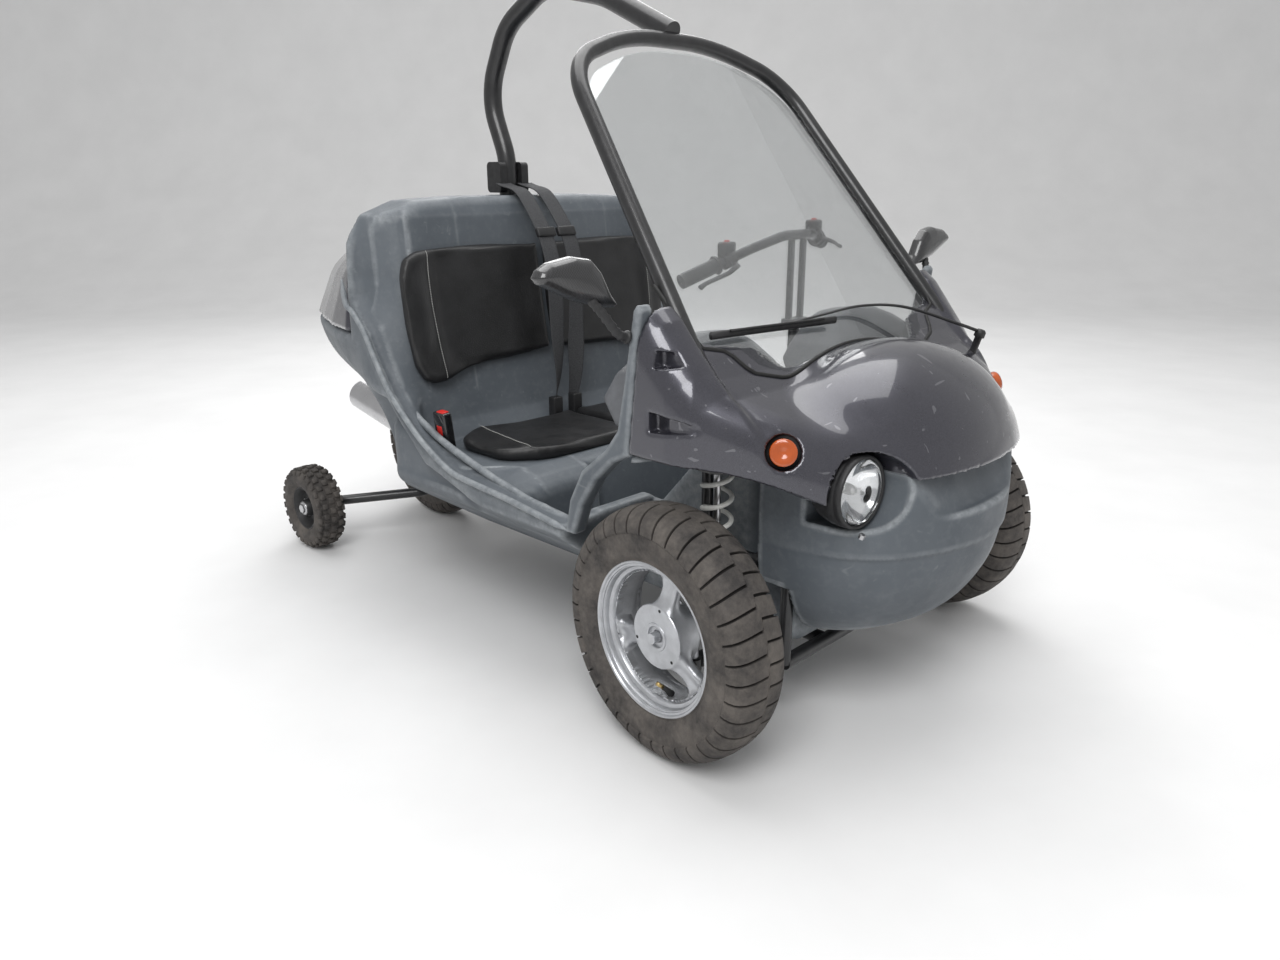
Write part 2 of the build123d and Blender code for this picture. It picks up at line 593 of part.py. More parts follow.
# Each wheel's centre, the direction its face looks in, and its tyre's half width and radius
wheel_places = {"rear": (rear_centre, Vector(-1, 0, 0), REAR_TYRE_HALF_WIDTH, REAR_TYRE_RADIUS)}
knuckles = {}
for label, side in SIDES.items():
    kingpin = Vector(side * KINGPIN_X, aft(0), AXLE_HEIGHT)
    wheel_centre = kingpin + outboard(side) * wheel_offset
    wheel_places[f"front_{label}"] = (wheel_centre, outboard(side), TYRE_HALF_WIDTH, TYRE_RADIUS)
    with BuildPart() as knuckles[label]:
        with BuildSketch(Plane.XY.offset(LOWER_ARM_HEIGHT + 14)):
            with Locations((side * KINGPIN_X, aft(0))):
                Circle(KINGPIN_DIAMETER / 2)
        extrude(amount=UPPER_ARM_HEIGHT - LOWER_ARM_HEIGHT - 28)
        add(rod(kingpin, kingpin + outboard(side) * 104, AXLE_DIAMETER))
        with BuildSketch(Plane.XY.offset(LOWER_ARM_HEIGHT - 8)):
            with Locations((side * KINGPIN_X, aft(0))):
                Circle(6)
        extrude(amount=UPPER_ARM_HEIGHT - LOWER_ARM_HEIGHT + 16)

# Wheels: tyre and three-spoke cast rim
RIM_FLANGE_RADIUS = 146.0
RIM_FLANGE = 3.6


def rim_half_width(half_width):
    """Half the width of the rim that carries a tyre."""
    return 0.87 * half_width


def tyre_profile(half_width, radius):
    """The (along the axle, radius) section of a tyre, open towards the rim."""
    bead = rim_half_width(half_width) - RIM_FLANGE - FIT
    outer = [
        (bead, 132), (bead, 148), (half_width, 165), (half_width, radius - 52),
        (0.87 * half_width, radius - 18), (0.35 * half_width, radius),
    ]
    inner = [(bead - 6, 132), (bead - 6, 150), (0.87 * half_width, 170), (0.8 * half_width, radius - 35),
             (0.32 * half_width, radius - 14)]
    return outer + [(-x, r) for x, r in reversed(outer)] + [(-x, r) for x, r in inner] + inner[::-1]


def rim_profile(half_width):
    """The section of a drop-centre rim with a flange on each side."""
    edge = rim_half_width(half_width)
    seat = edge - RIM_FLANGE
    flange = RIM_FLANGE_RADIUS
    half = [(edge - 18, 118), (edge, 128), (edge, flange), (seat, flange), (seat, 131), (edge - 20, 124)]
    return half + [(-x, r) for x, r in reversed(half)]


HUB_BORE = AXLE_DIAMETER / 2 + 0.5
HUB = [(-32, HUB_BORE), (-32, 30), (24, 34), (24, 61), (36, 61), (36, HUB_BORE)]
tyres, rims = {}, {}
for label, (centre, direction, half_width, radius) in wheel_places.items():
    face = Plane(origin=centre, x_dir=(0, 0, 1), z_dir=direction)
    with BuildPart() as tyres[label]:
        add(turned(centre, direction, tyre_profile(half_width, radius)))
    with BuildPart() as rims[label]:
        add(turned(centre, direction, rim_profile(half_width)))
        add(turned(centre, direction, HUB))
        with BuildSketch(face.offset(12)):
            with PolarLocations(89, 3, start_angle=30):
                Rectangle(66, 44)
        extrude(amount=18)

# Stabiliser wheels on trailing arms from below the body
small_tyres, small_rims = {}, {}
SMALL_TYRE = [(30, 62), (42, 76), (42, 96), (24, SMALL_WHEEL_RADIUS)]
SMALL_RIM = [(32, 8.5), (32, 22), (8, 22), (26, 61.7)]
small_tyre_profile = SMALL_TYRE + [(-x, r) for x, r in reversed(SMALL_TYRE)]
small_rim_profile = [(-x, r) for x, r in SMALL_RIM] + SMALL_RIM[::-1]
for label, side in SIDES.items():
    small_centre = (side * SMALL_WHEEL_X, aft(SMALL_WHEEL_STATION), SMALL_WHEEL_RADIUS)
    with BuildPart() as small_tyres[label]:
        add(turned(small_centre, (side, 0, 0), small_tyre_profile))
    with BuildPart() as small_rims[label]:
        add(turned(small_centre, (side, 0, 0), small_rim_profile))
with BuildPart() as outrigger_arms:
    for side in SIDES.values():
        arm_run = [
            (SMALL_WHEEL_X - 40, SMALL_WHEEL_STATION + 8, SMALL_WHEEL_RADIUS),
            (RAIL_X + 40, 1305, CROSS_TUBE_HEIGHT),
            (RAIL_X + CROSS_TUBE_DIAMETER / 2 + FIT, 1305, CROSS_TUBE_HEIGHT),
        ]
        add(tube([(side * x, aft(y), z) for x, y, z in arm_run], [25], OUTRIGGER_DIAMETER))
        inner_end = (side * (SMALL_WHEEL_X - 42), aft(SMALL_WHEEL_STATION), SMALL_WHEEL_RADIUS)
        outer_end = (side * (SMALL_WHEEL_X + 36), aft(SMALL_WHEEL_STATION), SMALL_WHEEL_RADIUS)
        add(rod(inner_end, outer_end, 16))

# Front suspension: arms that swing on the frame's side tubes, springs and dampers
SLEEVE_RADII = (TOWER_DIAMETER / 2 + FIT, TOWER_DIAMETER / 2 + 5.5)
JOINT_BOSS = [(-12, 0), (-12, 18), (12, 18), (12, 0)]
DAMPER_EYE_HEIGHT = 146.0


def ring(half_length, inner, outer):
    """The profile of a sleeve for turned()."""
    return [(-half_length, inner), (-half_length, outer), (half_length, outer), (half_length, inner)]


def ball_joint(side, height):
    """The outer end of an arm, with the bore for the knuckle's stud."""
    with BuildPart() as boss:
        add(turned((side * KINGPIN_X, aft(0), height), (0, 0, 1), JOINT_BOSS))
        with BuildSketch(Plane.XY.offset(height - 12)):
            with Locations((side * KINGPIN_X, aft(0))):
                Circle(6 + FIT)
        extrude(amount=24, mode=Mode.SUBTRACT)
    return boss.part


with BuildPart() as lower_arms:
    for side in SIDES.values():
        for fore in (1, -1):
            add(turned((side * TOWER_X, aft(fore * 38), CROSS_TUBE_HEIGHT), (0, 1, 0), ring(14, *SLEEVE_RADII)))
            pivot = (side * (TOWER_X + 16), aft(fore * 38), CROSS_TUBE_HEIGHT)
            add(rod(pivot, (side * (KINGPIN_X - 14), aft(fore * 7), LOWER_ARM_HEIGHT), ARM_DIAMETER))
        eye_reach = [(side * SPRING_X, aft(y), DAMPER_EYE_HEIGHT) for y in (-20, 20)]
        add(rod(*eye_reach, 10))
        add(ball_joint(side, LOWER_ARM_HEIGHT))
with BuildPart() as upper_arms:
    for side in SIDES.values():
        for fore in (1, -1):
            add(turned((side * TOWER_X, aft(fore * 38), UPPER_ARM_HEIGHT), (0, 1, 0), ring(11, *SLEEVE_RADII)))
            leg = [(TOWER_X + 16, fore * 40), (380, fore * 40), (KINGPIN_X - 14, fore * 8)]
            add(tube([(side * x, aft(y), UPPER_ARM_HEIGHT) for x, y in leg], [15], 16))
        add(ball_joint(side, UPPER_ARM_HEIGHT))
with BuildPart() as coil_springs:
    for side in SIDES.values():
        with BuildLine() as coil:
            Helix(
                pitch=(SPRING_TOP - SPRING_BOTTOM) / SPRING_TURNS, height=SPRING_TOP - SPRING_BOTTOM,
                radius=SPRING_RADIUS, center=(side * SPRING_X, aft(0), SPRING_BOTTOM),
            )
        with BuildSketch(coil.line ^ 0):
            Circle(SPRING_WIRE / 2)
        sweep(path=coil.line, is_frenet=True)
with BuildPart() as dampers:
    for side in SIDES.values():
        perch = SPRING_BOTTOM - SPRING_WIRE / 2 - FIT
        top = TOWER_TOP + TOWER_DIAMETER / 2 - 0.5 - FIT
        # Lower rod, body, upper rod and spring perch: bottom, top, diameter
        stages = ((DAMPER_EYE_HEIGHT + 8, 180, 14), (178, 380, 34), (380, top, 14), (perch - 6, perch, 62))
        for bottom_z, top_z, diameter in stages:
            add(rod((side * SPRING_X, aft(0), bottom_z), (side * SPRING_X, aft(0), top_z), diameter))
        add(turned((side * SPRING_X, aft(0), DAMPER_EYE_HEIGHT), (0, 1, 0), ring(6, 5 + FIT, 11)))

# Tubular chassis below the tub, with a tower for each spring
with BuildPart() as chassis_frame:
    for side in SIDES.values():
        rail_ends = [(side * RAIL_X, aft(y), CROSS_TUBE_HEIGHT) for y in (-CROSS_TUBE_STATION, RAIL_END)]
        add(rod(*rail_ends, CROSS_TUBE_DIAMETER))
        tower_run = [
            (-CROSS_TUBE_STATION, CROSS_TUBE_HEIGHT), (-CROSS_TUBE_STATION, TOWER_TOP),
            (CROSS_TUBE_STATION, TOWER_TOP), (CROSS_TUBE_STATION, CROSS_TUBE_HEIGHT),
        ]
        add(tube([(side * TOWER_X, aft(y), z) for y, z in tower_run], [30, 30], TOWER_DIAMETER))
        for height in (CROSS_TUBE_HEIGHT, UPPER_ARM_HEIGHT):
            side_tube = [(side * TOWER_X, aft(y), height) for y in (-CROSS_TUBE_STATION, CROSS_TUBE_STATION)]
            add(rod(*side_tube, TOWER_DIAMETER))
        with BuildSketch(Plane.XY.offset(TOWER_TOP + TOWER_DIAMETER / 2 - 0.5)):
            with Locations((side * (SPRING_X - 30), aft(0))):
                RectangleRounded(128, 62, 20)
        extrude(amount=6)
        # Spigot that carries the side of the bumper, and a foot below the engine
        spigot_end = BUMPER_HALF_WIDTH - BUMPER_WALL - 4 * FIT
        spigot = [(side * x, aft(-CROSS_TUBE_STATION), 430) for x in (TOWER_X, spigot_end)]
        add(rod(*spigot, 20))
        foot = [(side * 90, aft(ENGINE_CROSS_TUBE), z) for z in (CROSS_TUBE_HEIGHT, ENGINE_BOTTOM - FIT)]
        add(rod(*foot, 26))
    for station in (-CROSS_TUBE_STATION, CROSS_TUBE_STATION, 620, ENGINE_CROSS_TUBE):
        reach = TOWER_X if abs(station) == CROSS_TUBE_STATION else RAIL_X
        cross_tube = [(x, aft(station), CROSS_TUBE_HEIGHT) for x in (-reach, reach)]
        add(rod(*cross_tube, CROSS_TUBE_DIAMETER))

# Engine as one plain block, with the swing arm, axle and silencer of the rear wheel
with BuildPart() as engine_block:
    with BuildSketch(Plane.XY.offset(ENGINE_BOTTOM)):
        with Locations((0, aft(1080))):
            RectangleRounded(260, 200, 30)
    extrude(amount=260)
with BuildPart() as swing_arm:
    for side in SIDES.values():
        arm_profile = stations([(ENGINE_REAR + FIT, 205), (ENGINE_REAR + FIT, 275), (1470, 247), (1470, 197)])
        extrude(outline(Plane.YZ.offset(side * 82), arm_profile, [5, 5, 20, 20]), amount=side * 16)
    axle_ends = [(x, REAR_AXLE_Y, REAR_TYRE_RADIUS) for x in (-98, 98)]
    add(rod(*axle_ends, AXLE_DIAMETER))
with BuildPart() as exhaust_silencer:
    add(rod((-165, aft(1200), 310), (-165, aft(1590), 385), 90))
    pipe_run = [(-130 - FIT, 1100, 285), (-165, 1100, 285), (-165, 1210, 312)]
    add(tube([(x, aft(y), z) for x, y, z in pipe_run], [25], 34))

# Wiper, mirrors, indicators and tail lamps
WIPER_ARM = [(WIPER_PIVOT[0], WIPER_PIVOT[1], 690), (82, -8, 771), (-200, -8, 763)]
WIPER_BLADE = [(-374, 10, 765), (-30, -16, 760)]
MIRROR_STEM = [(501.5, 84, 770), (520, 88, 778), (560, 118, 845)]
with BuildPart() as wiper:
    add(tube([(x, aft(y), z) for x, y, z in WIPER_ARM], [200], 8))
    add(rod(*[(x, aft(y), z) for x, y, z in WIPER_BLADE], 9))
    add(rod(*[(WIPER_PIVOT[0], aft(WIPER_PIVOT[1]), z) for z in (635, 695)], WIPER_PIVOT_DIAMETER))
mirrors = {}
for label, side in SIDES.items():
    with BuildPart() as mirrors[label]:
        add(tube([(side * x, aft(y), z) for x, y, z in MIRROR_STEM], [15], 10))
        head = [(-85, -12), (20, -45), (88, -20), (60, 45), (-60, 30)]
        head_plane = Plane(origin=(side * 577, aft(105), 861), x_dir=(1, 0, 0), z_dir=(0, 1, 0))
        extrude(outline(head_plane, head, [10, 25, 15, 25, 12]), amount=35)
with BuildPart() as indicators:
    for side in SIDES.values():
        add(indicator_rod(side, INDICATOR_DEPTHS, 2 * INDICATOR_RADIUS))
with BuildPart() as tail_lamps:
    for side in SIDES.values():
        lamp = [(side * TAIL_LAMP_X, aft(y), TAIL_LAMP_HEIGHT) for y in (TAIL_END - TAIL_LAMP_DEPTH, TAIL_END)]
        add(rod(*lamp, TAIL_LAMP_DIAMETER))

pieces = {
    "body_tub": body_tub, "front_bumper": front_bumper, "front_cowl": front_cowl,
    "windscreen_frame": windscreen_frame, "windscreen": windscreen, "roll_bar": roll_bar,
    "headlight_bowls": headlight_bowls, "headlight_lenses": headlight_lenses,
    "engine_cover": engine_cover, "belt_buckles": belt_buckles, "belt_top_covers": belt_top_covers,
    "dash_pods": dash_pods, "steering_column": steering_column, "handlebar": handlebar,
    "chassis_frame": chassis_frame, "engine_block": engine_block, "swing_arm": swing_arm,
    "exhaust_silencer": exhaust_silencer, "wiper": wiper, "indicators": indicators,
    "tail_lamps": tail_lamps, "seat_belts": seat_belts, "outrigger_arms": outrigger_arms,
    "lower_arms": lower_arms, "upper_arms": upper_arms, "coil_springs": coil_springs, "dampers": dampers,
}
families = {
    "backrest": backrests, "seat_cushion": cushions, "knuckle": knuckles,
    "tyre": tyres, "rim": rims, "outrigger_tyre": small_tyres, "outrigger_rim": small_rims,
    "mirror": mirrors,
}
for family, members in families.items():
    for label, piece in members.items():
        pieces[f"{family}_{label}"] = piece
for name, piece in pieces.items():
    write(piece, name)
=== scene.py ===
from math import cos, pi, radians, sin, tau

import bmesh
import bpy
import numpy as np
from mathutils import Matrix, Vector
from mathutils.bvhtree import BVHTree


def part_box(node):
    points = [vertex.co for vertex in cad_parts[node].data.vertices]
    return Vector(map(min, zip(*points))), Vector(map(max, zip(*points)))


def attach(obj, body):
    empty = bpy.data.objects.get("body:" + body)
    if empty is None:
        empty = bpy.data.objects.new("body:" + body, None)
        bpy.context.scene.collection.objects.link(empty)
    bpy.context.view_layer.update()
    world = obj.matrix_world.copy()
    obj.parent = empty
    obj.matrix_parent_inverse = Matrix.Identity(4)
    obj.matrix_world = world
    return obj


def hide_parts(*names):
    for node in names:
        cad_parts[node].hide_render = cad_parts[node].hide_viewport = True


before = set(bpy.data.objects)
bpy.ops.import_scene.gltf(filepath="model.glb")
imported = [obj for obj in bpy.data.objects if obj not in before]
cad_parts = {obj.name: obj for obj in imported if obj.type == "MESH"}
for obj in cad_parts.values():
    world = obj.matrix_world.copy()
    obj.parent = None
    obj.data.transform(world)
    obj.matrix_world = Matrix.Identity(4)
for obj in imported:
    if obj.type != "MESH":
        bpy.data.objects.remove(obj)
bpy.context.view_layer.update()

# Stations are metres behind the front axle, which lies one wheelbase before the rear wheel's centre
WHEELBASE = 1.445
AXLE_Y = (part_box("rim_rear")[0][1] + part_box("rim_rear")[1][1]) / 2 - WHEELBASE
SIDES = {"left": 1, "right": -1}

# Camera, fitted to the photograph's 1280 x 960 frame
PHOTO_WIDTH = 1280
FOCAL_PIXELS = 960.53
CAMERA_PLACE = (-1.6419, -1.0661, 1.0356)
CAMERA_HEADING = radians(45.478)
CAMERA_PITCH = radians(17.754)
CAMERA_ROLL = radians(-0.22)


# Implicit shapes: a function of x, y, z that is negative inside


def blend_max(a, b, width):
    """The larger of two values, rounded over where they are within the width."""
    near = np.maximum(width - np.abs(a - b), 0) / width
    return np.maximum(a, b) + near * near * width / 4


def blend_min(a, b, width):
    """The smaller of two values, rounded over where they are within the width."""
    return -blend_max(-a, -b, width)


def step(value, low, high):
    """A smooth rise from 0 at low to 1 at high."""
    t = np.clip((value - low) / (high - low), 0, 1)
    return t * t * (3 - 2 * t)


def distance_to_line(u, v, points, closed=False):
    """The squared distance to a chain of straight runs, and which side of a closed one each point is on."""
    best, outside = None, None
    count = len(points)
    for i in range(count if closed else count - 1):
        (au, av), (bu, bv) = points[i], points[(i + 1) % count]
        eu, ev = bu - au, bv - av
        wu, wv = u - au, v - av
        along = np.clip((wu * eu + wv * ev) / (eu * eu + ev * ev), 0, 1)
        du, dv = wu - eu * along, wv - ev * along
        squared = du * du + dv * dv
        best = squared if best is None else np.minimum(best, squared)
        if closed:
            above, below, left = v >= av, v < bv, eu * wv > ev * wu
            crossed = (above & below & left) | (~above & ~below & ~left)
            outside = ~crossed if outside is None else outside ^ crossed
    return best, outside


def polygon(u, v, corners):
    """Signed distance to a closed outline."""
    squared, outside = distance_to_line(u, v, corners, closed=True)
    return np.where(outside, 1, -1) * np.sqrt(squared)


def curve_through(points, steps=5):
    """More points on a smooth curve through the given ones."""
    p = np.array(points, float)
    ends = np.vstack([2 * p[0] - p[1], p, 2 * p[-1] - p[-2]])
    made = []
    for a, b, c, d in zip(ends, ends[1:], ends[2:], ends[3:]):
        for t in np.arange(steps) / steps:
            made.append((2 * b + (c - a) * t + (2 * a - 5 * b + 4 * c - d) * t**2
                         + (3 * b - a - 3 * c + d) * t**3) / 2)
    made.append(p[-1])
    return [tuple(q) for q in made]


def table(value, rows):
    """A smooth value read from (place, value) rows."""
    line = np.array(curve_through(rows, 6))
    order = np.argsort(line[:, 0])
    return np.interp(value, line[order, 0], line[order, 1])


def slope_of(shape, p, reach=0.0008):
    """The shape's value and gradient at each point."""
    columns = []
    for axis in range(3):
        shift = np.zeros(3)
        shift[axis] = reach
        columns.append((shape(*(p + shift).T) - shape(*(p - shift).T)) / (2 * reach))
    return shape(*p.T), np.stack(columns, axis=1)


def surface_net(shape, low, high, cell):
    """Points and four-cornered faces of the surface where the shape is zero."""
    axes = [np.arange(a, b + cell, cell) for a, b in zip(low, high)]
    x, y, z = np.meshgrid(*axes, indexing="ij", sparse=True)
    value = np.array(np.broadcast_to(shape(x, y, z), [len(a) for a in axes]))
    inside = value < 0
    corners = np.zeros([n - 1 for n in value.shape], int)
    nx, ny, nz = corners.shape
    for i in (0, 1):
        for j in (0, 1):
            for k in (0, 1):
                corners += inside[i:i + nx, j:j + ny, k:k + nz]
    cells = np.argwhere((corners > 0) & (corners < 8))
    index = np.full(corners.shape, -1)
    index[tuple(cells.T)] = np.arange(len(cells))
    total, hits = np.zeros((len(cells), 3)), np.zeros(len(cells))
    for axis in range(3):
        across = [a for a in range(3) if a != axis]
        for i in (0, 1):
            for j in (0, 1):
                start = cells.copy()
                start[:, across[0]] += i
                start[:, across[1]] += j
                end = start.copy()
                end[:, axis] += 1
                a, b = value[tuple(start.T)], value[tuple(end.T)]
                cut = (a < 0) != (b < 0)
                point = start.astype(float)
                point[:, axis] += np.where(cut, a / np.where(cut, a - b, 1), 0)
                total += point * cut[:, None]
                hits += cut
    points = np.array(low) + cell * total / hits[:, None]
    faces = []
    for axis in range(3):
        before = np.take(inside, range(inside.shape[axis] - 1), axis)
        after = np.take(inside, range(1, inside.shape[axis]), axis)
        edges = np.argwhere(before != after)
        one, two = [a for a in range(3) if a != axis]
        edges = edges[(edges[:, one] > 0) & (edges[:, two] > 0)]
        edges = edges[(edges[:, one] < index.shape[one]) & (edges[:, two] < index.shape[two])]
        ring = []
        for i, j in ((0, 0), (1, 0), (1, 1), (0, 1)):
            spot = edges.copy()
            spot[:, one] -= i
            spot[:, two] -= j
            ring.append(index[tuple(spot.T)])
        quad = np.stack(ring, axis=1)
        flip = before[tuple(edges.T)] if axis != 1 else ~before[tuple(edges.T)]
        quad[flip] = quad[flip][:, ::-1]
        faces.append(quad)
    for _ in range(3):
        level, slope = slope_of(shape, points)
        squared = np.maximum((slope**2).sum(axis=1), 0.05)
        move = slope * (level / squared)[:, None]
        length = np.sqrt((move**2).sum(axis=1))
        points -= move * np.minimum(1, 0.6 * cell / np.maximum(length, 1e-9))[:, None]
    return points, np.vstack(faces)


# Meshes


def new_object(name, points, faces):
    """A smooth shaded mesh object from points and faces."""
    mesh = bpy.data.meshes.new(name)
    mesh.from_pydata([tuple(p) for p in points], [], [tuple(int(i) for i in f) for f in faces])
    mesh.update()
    mesh.shade_smooth()
    piece = bpy.data.objects.new(name, mesh)
    bpy.context.scene.collection.objects.link(piece)
    return piece


def beside(place, side=1):
    """A place given by station on the vehicle's left, moved to the given side and into the row frame."""
    return Vector((side * place[0], place[1] + AXLE_Y, place[2]))


def on_side(piece, side):
    """Mirrors a piece that is made for the vehicle's left when it goes on the right."""
    if side < 0:
        piece.data.transform(Matrix.Diagonal((-1, 1, 1, 1)))
        piece.data.flip_normals()
    return piece


def mark(piece, name, values):
    """Gives each point of a piece a value that its material reads."""
    marks = piece.data.attributes.new(name, "FLOAT", "POINT")
    marks.data.foreach_set("value", np.array(values, np.float32))


def shell(name, shape, low, high, cell, wear_reach=0.012):
    """A piece from an implicit shape, with its convex edges marked for wear."""
    points, faces = surface_net(shape, low, high, cell)
    around = np.zeros(len(points))
    for axis in range(3):
        for way in (-1, 1):
            shift = np.zeros(3)
            shift[axis] = way * wear_reach
            around += shape(*(points + shift).T)
    piece = new_object(name, points + (0, AXLE_Y, 0), faces)
    mark(piece, "wear", np.clip(around / (wear_reach * 2.2), -1, 1))
    return piece


def join(name, pieces):
    """One object from several, keeping their materials."""
    bpy.ops.object.select_all(action="DESELECT")
    for piece in pieces:
        piece.select_set(True)
    bpy.context.view_layer.objects.active = pieces[0]
    bpy.ops.object.join()
    pieces[0].name = pieces[0].data.name = name
    return pieces[0]


def upright(axis):
    """A guide direction that isn't along the axis."""
    return Vector((0, 0, 1)) if abs(axis.z) < 0.9 else Vector((0, 1, 0))


def tube_faces(rings, sides):
    """Faces between rings of points."""
    return [(i * sides + k, i * sides + (k + 1) % sides,
             (i + 1) * sides + (k + 1) % sides, (i + 1) * sides + k)
            for i in range(rings - 1) for k in range(sides)]


def sweep(name, path, radius, sides, squash=1.0):
    """A closed tube of round or oval section along a path. radius may be a list, one for each point."""
    count = len(path)
    sizes = radius if isinstance(radius, list) else [radius] * count
    points, across = [], None
    for i, p in enumerate(path):
        along = (path[min(i + 1, count - 1)] - path[max(i - 1, 0)]).normalized()
        if across is None:
            across = along.cross(upright(along)).normalized()
        across = (across - along * across.dot(along)).normalized()
        other = along.cross(across)
        for k in range(sides):
            turn = tau * k / sides
            points.append(p + (across * cos(turn) + other * sin(turn) * squash) * sizes[i])
    ends = [tuple(reversed(range(sides))), tuple((count - 1) * sides + k for k in range(sides))]
    return new_object(name, points, tube_faces(count, sides) + ends)


def lathe(name, profile, sides, centre=(0, 0, 0), direction=(1, 0, 0)):
    """A turned form: (along the axis, radius) corners revolved about the axis."""
    axis = Vector(direction).normalized()
    across = axis.cross(upright(axis)).normalized()
    other = axis.cross(across)
    points = []
    for along, radius in profile:
        for k in range(sides):
            turn = tau * k / sides
            spoke = across * cos(turn) + other * sin(turn)
            points.append(Vector(centre) + axis * along + spoke * max(radius, 1e-5))
    return new_object(name, points, tube_faces(len(profile), sides))


def sharpen(piece, angle):
    """Keeps edges sharper than the angle crisp."""
    piece.data.set_sharp_from_angle(angle=radians(angle))
    return piece


def hexagon(name, profile, centre=(0, 0, 0), direction=(1, 0, 0)):
    """A nut or a bolt head."""
    return sharpen(lathe(name, profile, 6, centre, direction), 30)


def block(name, low, high, bevel, segments=3):
    """A box with rounded edges."""
    points = [(x, y, z) for x in (low[0], high[0]) for y in (low[1], high[1]) for z in (low[2], high[2])]
    faces = [(0, 1, 3, 2), (4, 6, 7, 5), (0, 4, 5, 1), (2, 3, 7, 6), (0, 2, 6, 4), (1, 5, 7, 3)]
    piece = new_object(name, points, faces)
    mesh = bmesh.new()
    mesh.from_mesh(piece.data)
    bmesh.ops.bevel(mesh, geom=mesh.edges[:], offset=bevel, segments=segments, affect="EDGES", profile=0.5)
    mesh.to_mesh(piece.data)
    mesh.free()
    piece.data.shade_smooth()
    return piece


# Materials


class Finish:
    """A procedural material, put together from shader nodes in object coordinates (metres)."""

    def __init__(self, name, metallic=0.0, coat=0.0, coat_roughness=0.05, specular=0.5):
        self.material = bpy.data.materials.new(name)
        self.material.use_nodes = True
        self.tree = self.material.node_tree
        self.surface = self.tree.nodes["Principled BSDF"]
        for socket, value in (("Metallic", metallic), ("Coat Weight", coat),
                              ("Coat Roughness", coat_roughness), ("Specular IOR Level", specular)):
            self.surface.inputs[socket].default_value = value
        self.place = self.tree.nodes.new("ShaderNodeTexCoord").outputs["Object"]

    def put(self, socket, value):
        if isinstance(value, bpy.types.NodeSocket):
            self.tree.links.new(value, socket)
        else:
            socket.default_value = value

    def add(self, kind, inputs, **settings):
        """A new shader node with its settings made, then its inputs filled."""
        node = self.tree.nodes.new("ShaderNode" + kind)
        for name, value in settings.items():
            setattr(node, name, value)
        for socket, value in inputs.items():
            self.put(node.inputs[socket], value)
        return node

    def maths(self, operation, a, b, clamp=False):
        return self.add("Math", {0: a, 1: b}, operation=operation, use_clamp=clamp).outputs[0]

    def noise(self, scale, detail, roughness=0.55, stretch=None, distortion=0.0):
        place = self.place
        if stretch:
            place = self.add("VectorMath", {0: place, 1: stretch}, operation="MULTIPLY").outputs[0]
        return self.add("TexNoise", {"Vector": place, "Scale": scale, "Detail": detail,
                                     "Roughness": roughness, "Distortion": distortion}).outputs["Fac"]

    def ramp(self, value, low, high, start=0.0, end=1.0):
        return self.add("MapRange", {"Value": value, "From Min": low, "From Max": high, "To Min": start,
                                     "To Max": end}).outputs[0]

    def wander(self, scale, detail, start=0.0, end=1.0):
        """Noise that wanders from one value to another."""
        return self.ramp(self.noise(scale, detail), 0.3, 0.7, start, end)

    def mix(self, share, a, b):
        a, b = ((*colour, 1) if isinstance(colour, tuple) else colour for colour in (a, b))
        return self.add("Mix", {"Factor": share, "A": a, "B": b}, data_type="RGBA").outputs["Result"]

    def attribute(self, name):
        return self.add("Attribute", {}, attribute_name=name).outputs["Fac"]

    def colour(self, value):
        self.put(self.surface.inputs["Base Color"], value)

    def roughness(self, value):
        self.put(self.surface.inputs["Roughness"], value)

    def bump(self, height, distance, strength=1.0):
        node = self.add("Bump", {"Strength": strength, "Distance": distance, "Height": height})
        if self.surface.inputs["Normal"].is_linked:
            self.put(node.inputs["Normal"], self.surface.inputs["Normal"].links[0].from_socket)
        self.put(self.surface.inputs["Normal"], node.outputs["Normal"])


def simple_finish(name, colour, spread, roughness, metallic=0.0, scale=40.0, grain=0.0, grain_scale=900.0,
                  **more):
    """A finish whose colour and roughness wander a little about a middle value."""
    made = Finish(name, metallic, **more)
    dark = tuple(c * (1 - spread) for c in colour)
    light = tuple(min(1, c * (1 + spread)) for c in colour)
    made.colour(made.mix(made.wander(scale, 4), dark, light))
    made.roughness(made.wander(scale * 2.3, 3, *roughness))
    if grain:
        made.bump(made.noise(grain_scale, 2), grain)
    return made.material


def tub_finish():
    """Moulded slate plastic: fine grain, paler patches of dust, scuffs, and pale worn edges."""
    made = Finish("tub_plastic", specular=0.4)
    broad, fine = made.noise(5, 4), made.noise(60, 5, 0.65)
    base = made.mix(made.ramp(broad, 0.35, 0.7), (0.084, 0.097, 0.111), (0.116, 0.131, 0.147))
    base = made.mix(made.maths("MULTIPLY", made.ramp(fine, 0.5, 0.75), 0.35), base, (0.165, 0.178, 0.193))
    worn = made.ramp(made.attribute("wear"), 0.06, 0.40)
    worn = made.maths("MULTIPLY", worn, made.ramp(made.noise(35, 5, 0.7), 0.35, 0.65, 0.25, 0.85), clamp=True)
    base = made.mix(worn, base, (0.31, 0.33, 0.345))
    scuff = made.ramp(made.noise(38, 3, 0.6, (1, 0.25, 1), 0.5), 0.66, 0.74)
    made.colour(made.mix(made.maths("MULTIPLY", scuff, 0.35), base, (0.22, 0.235, 0.25)))
    made.roughness(made.wander(18, 4, 0.42, 0.60))
    made.bump(made.noise(1100, 2), 0.00025)
    made.bump(made.noise(7, 2), 0.004, 0.5)
    return made.material


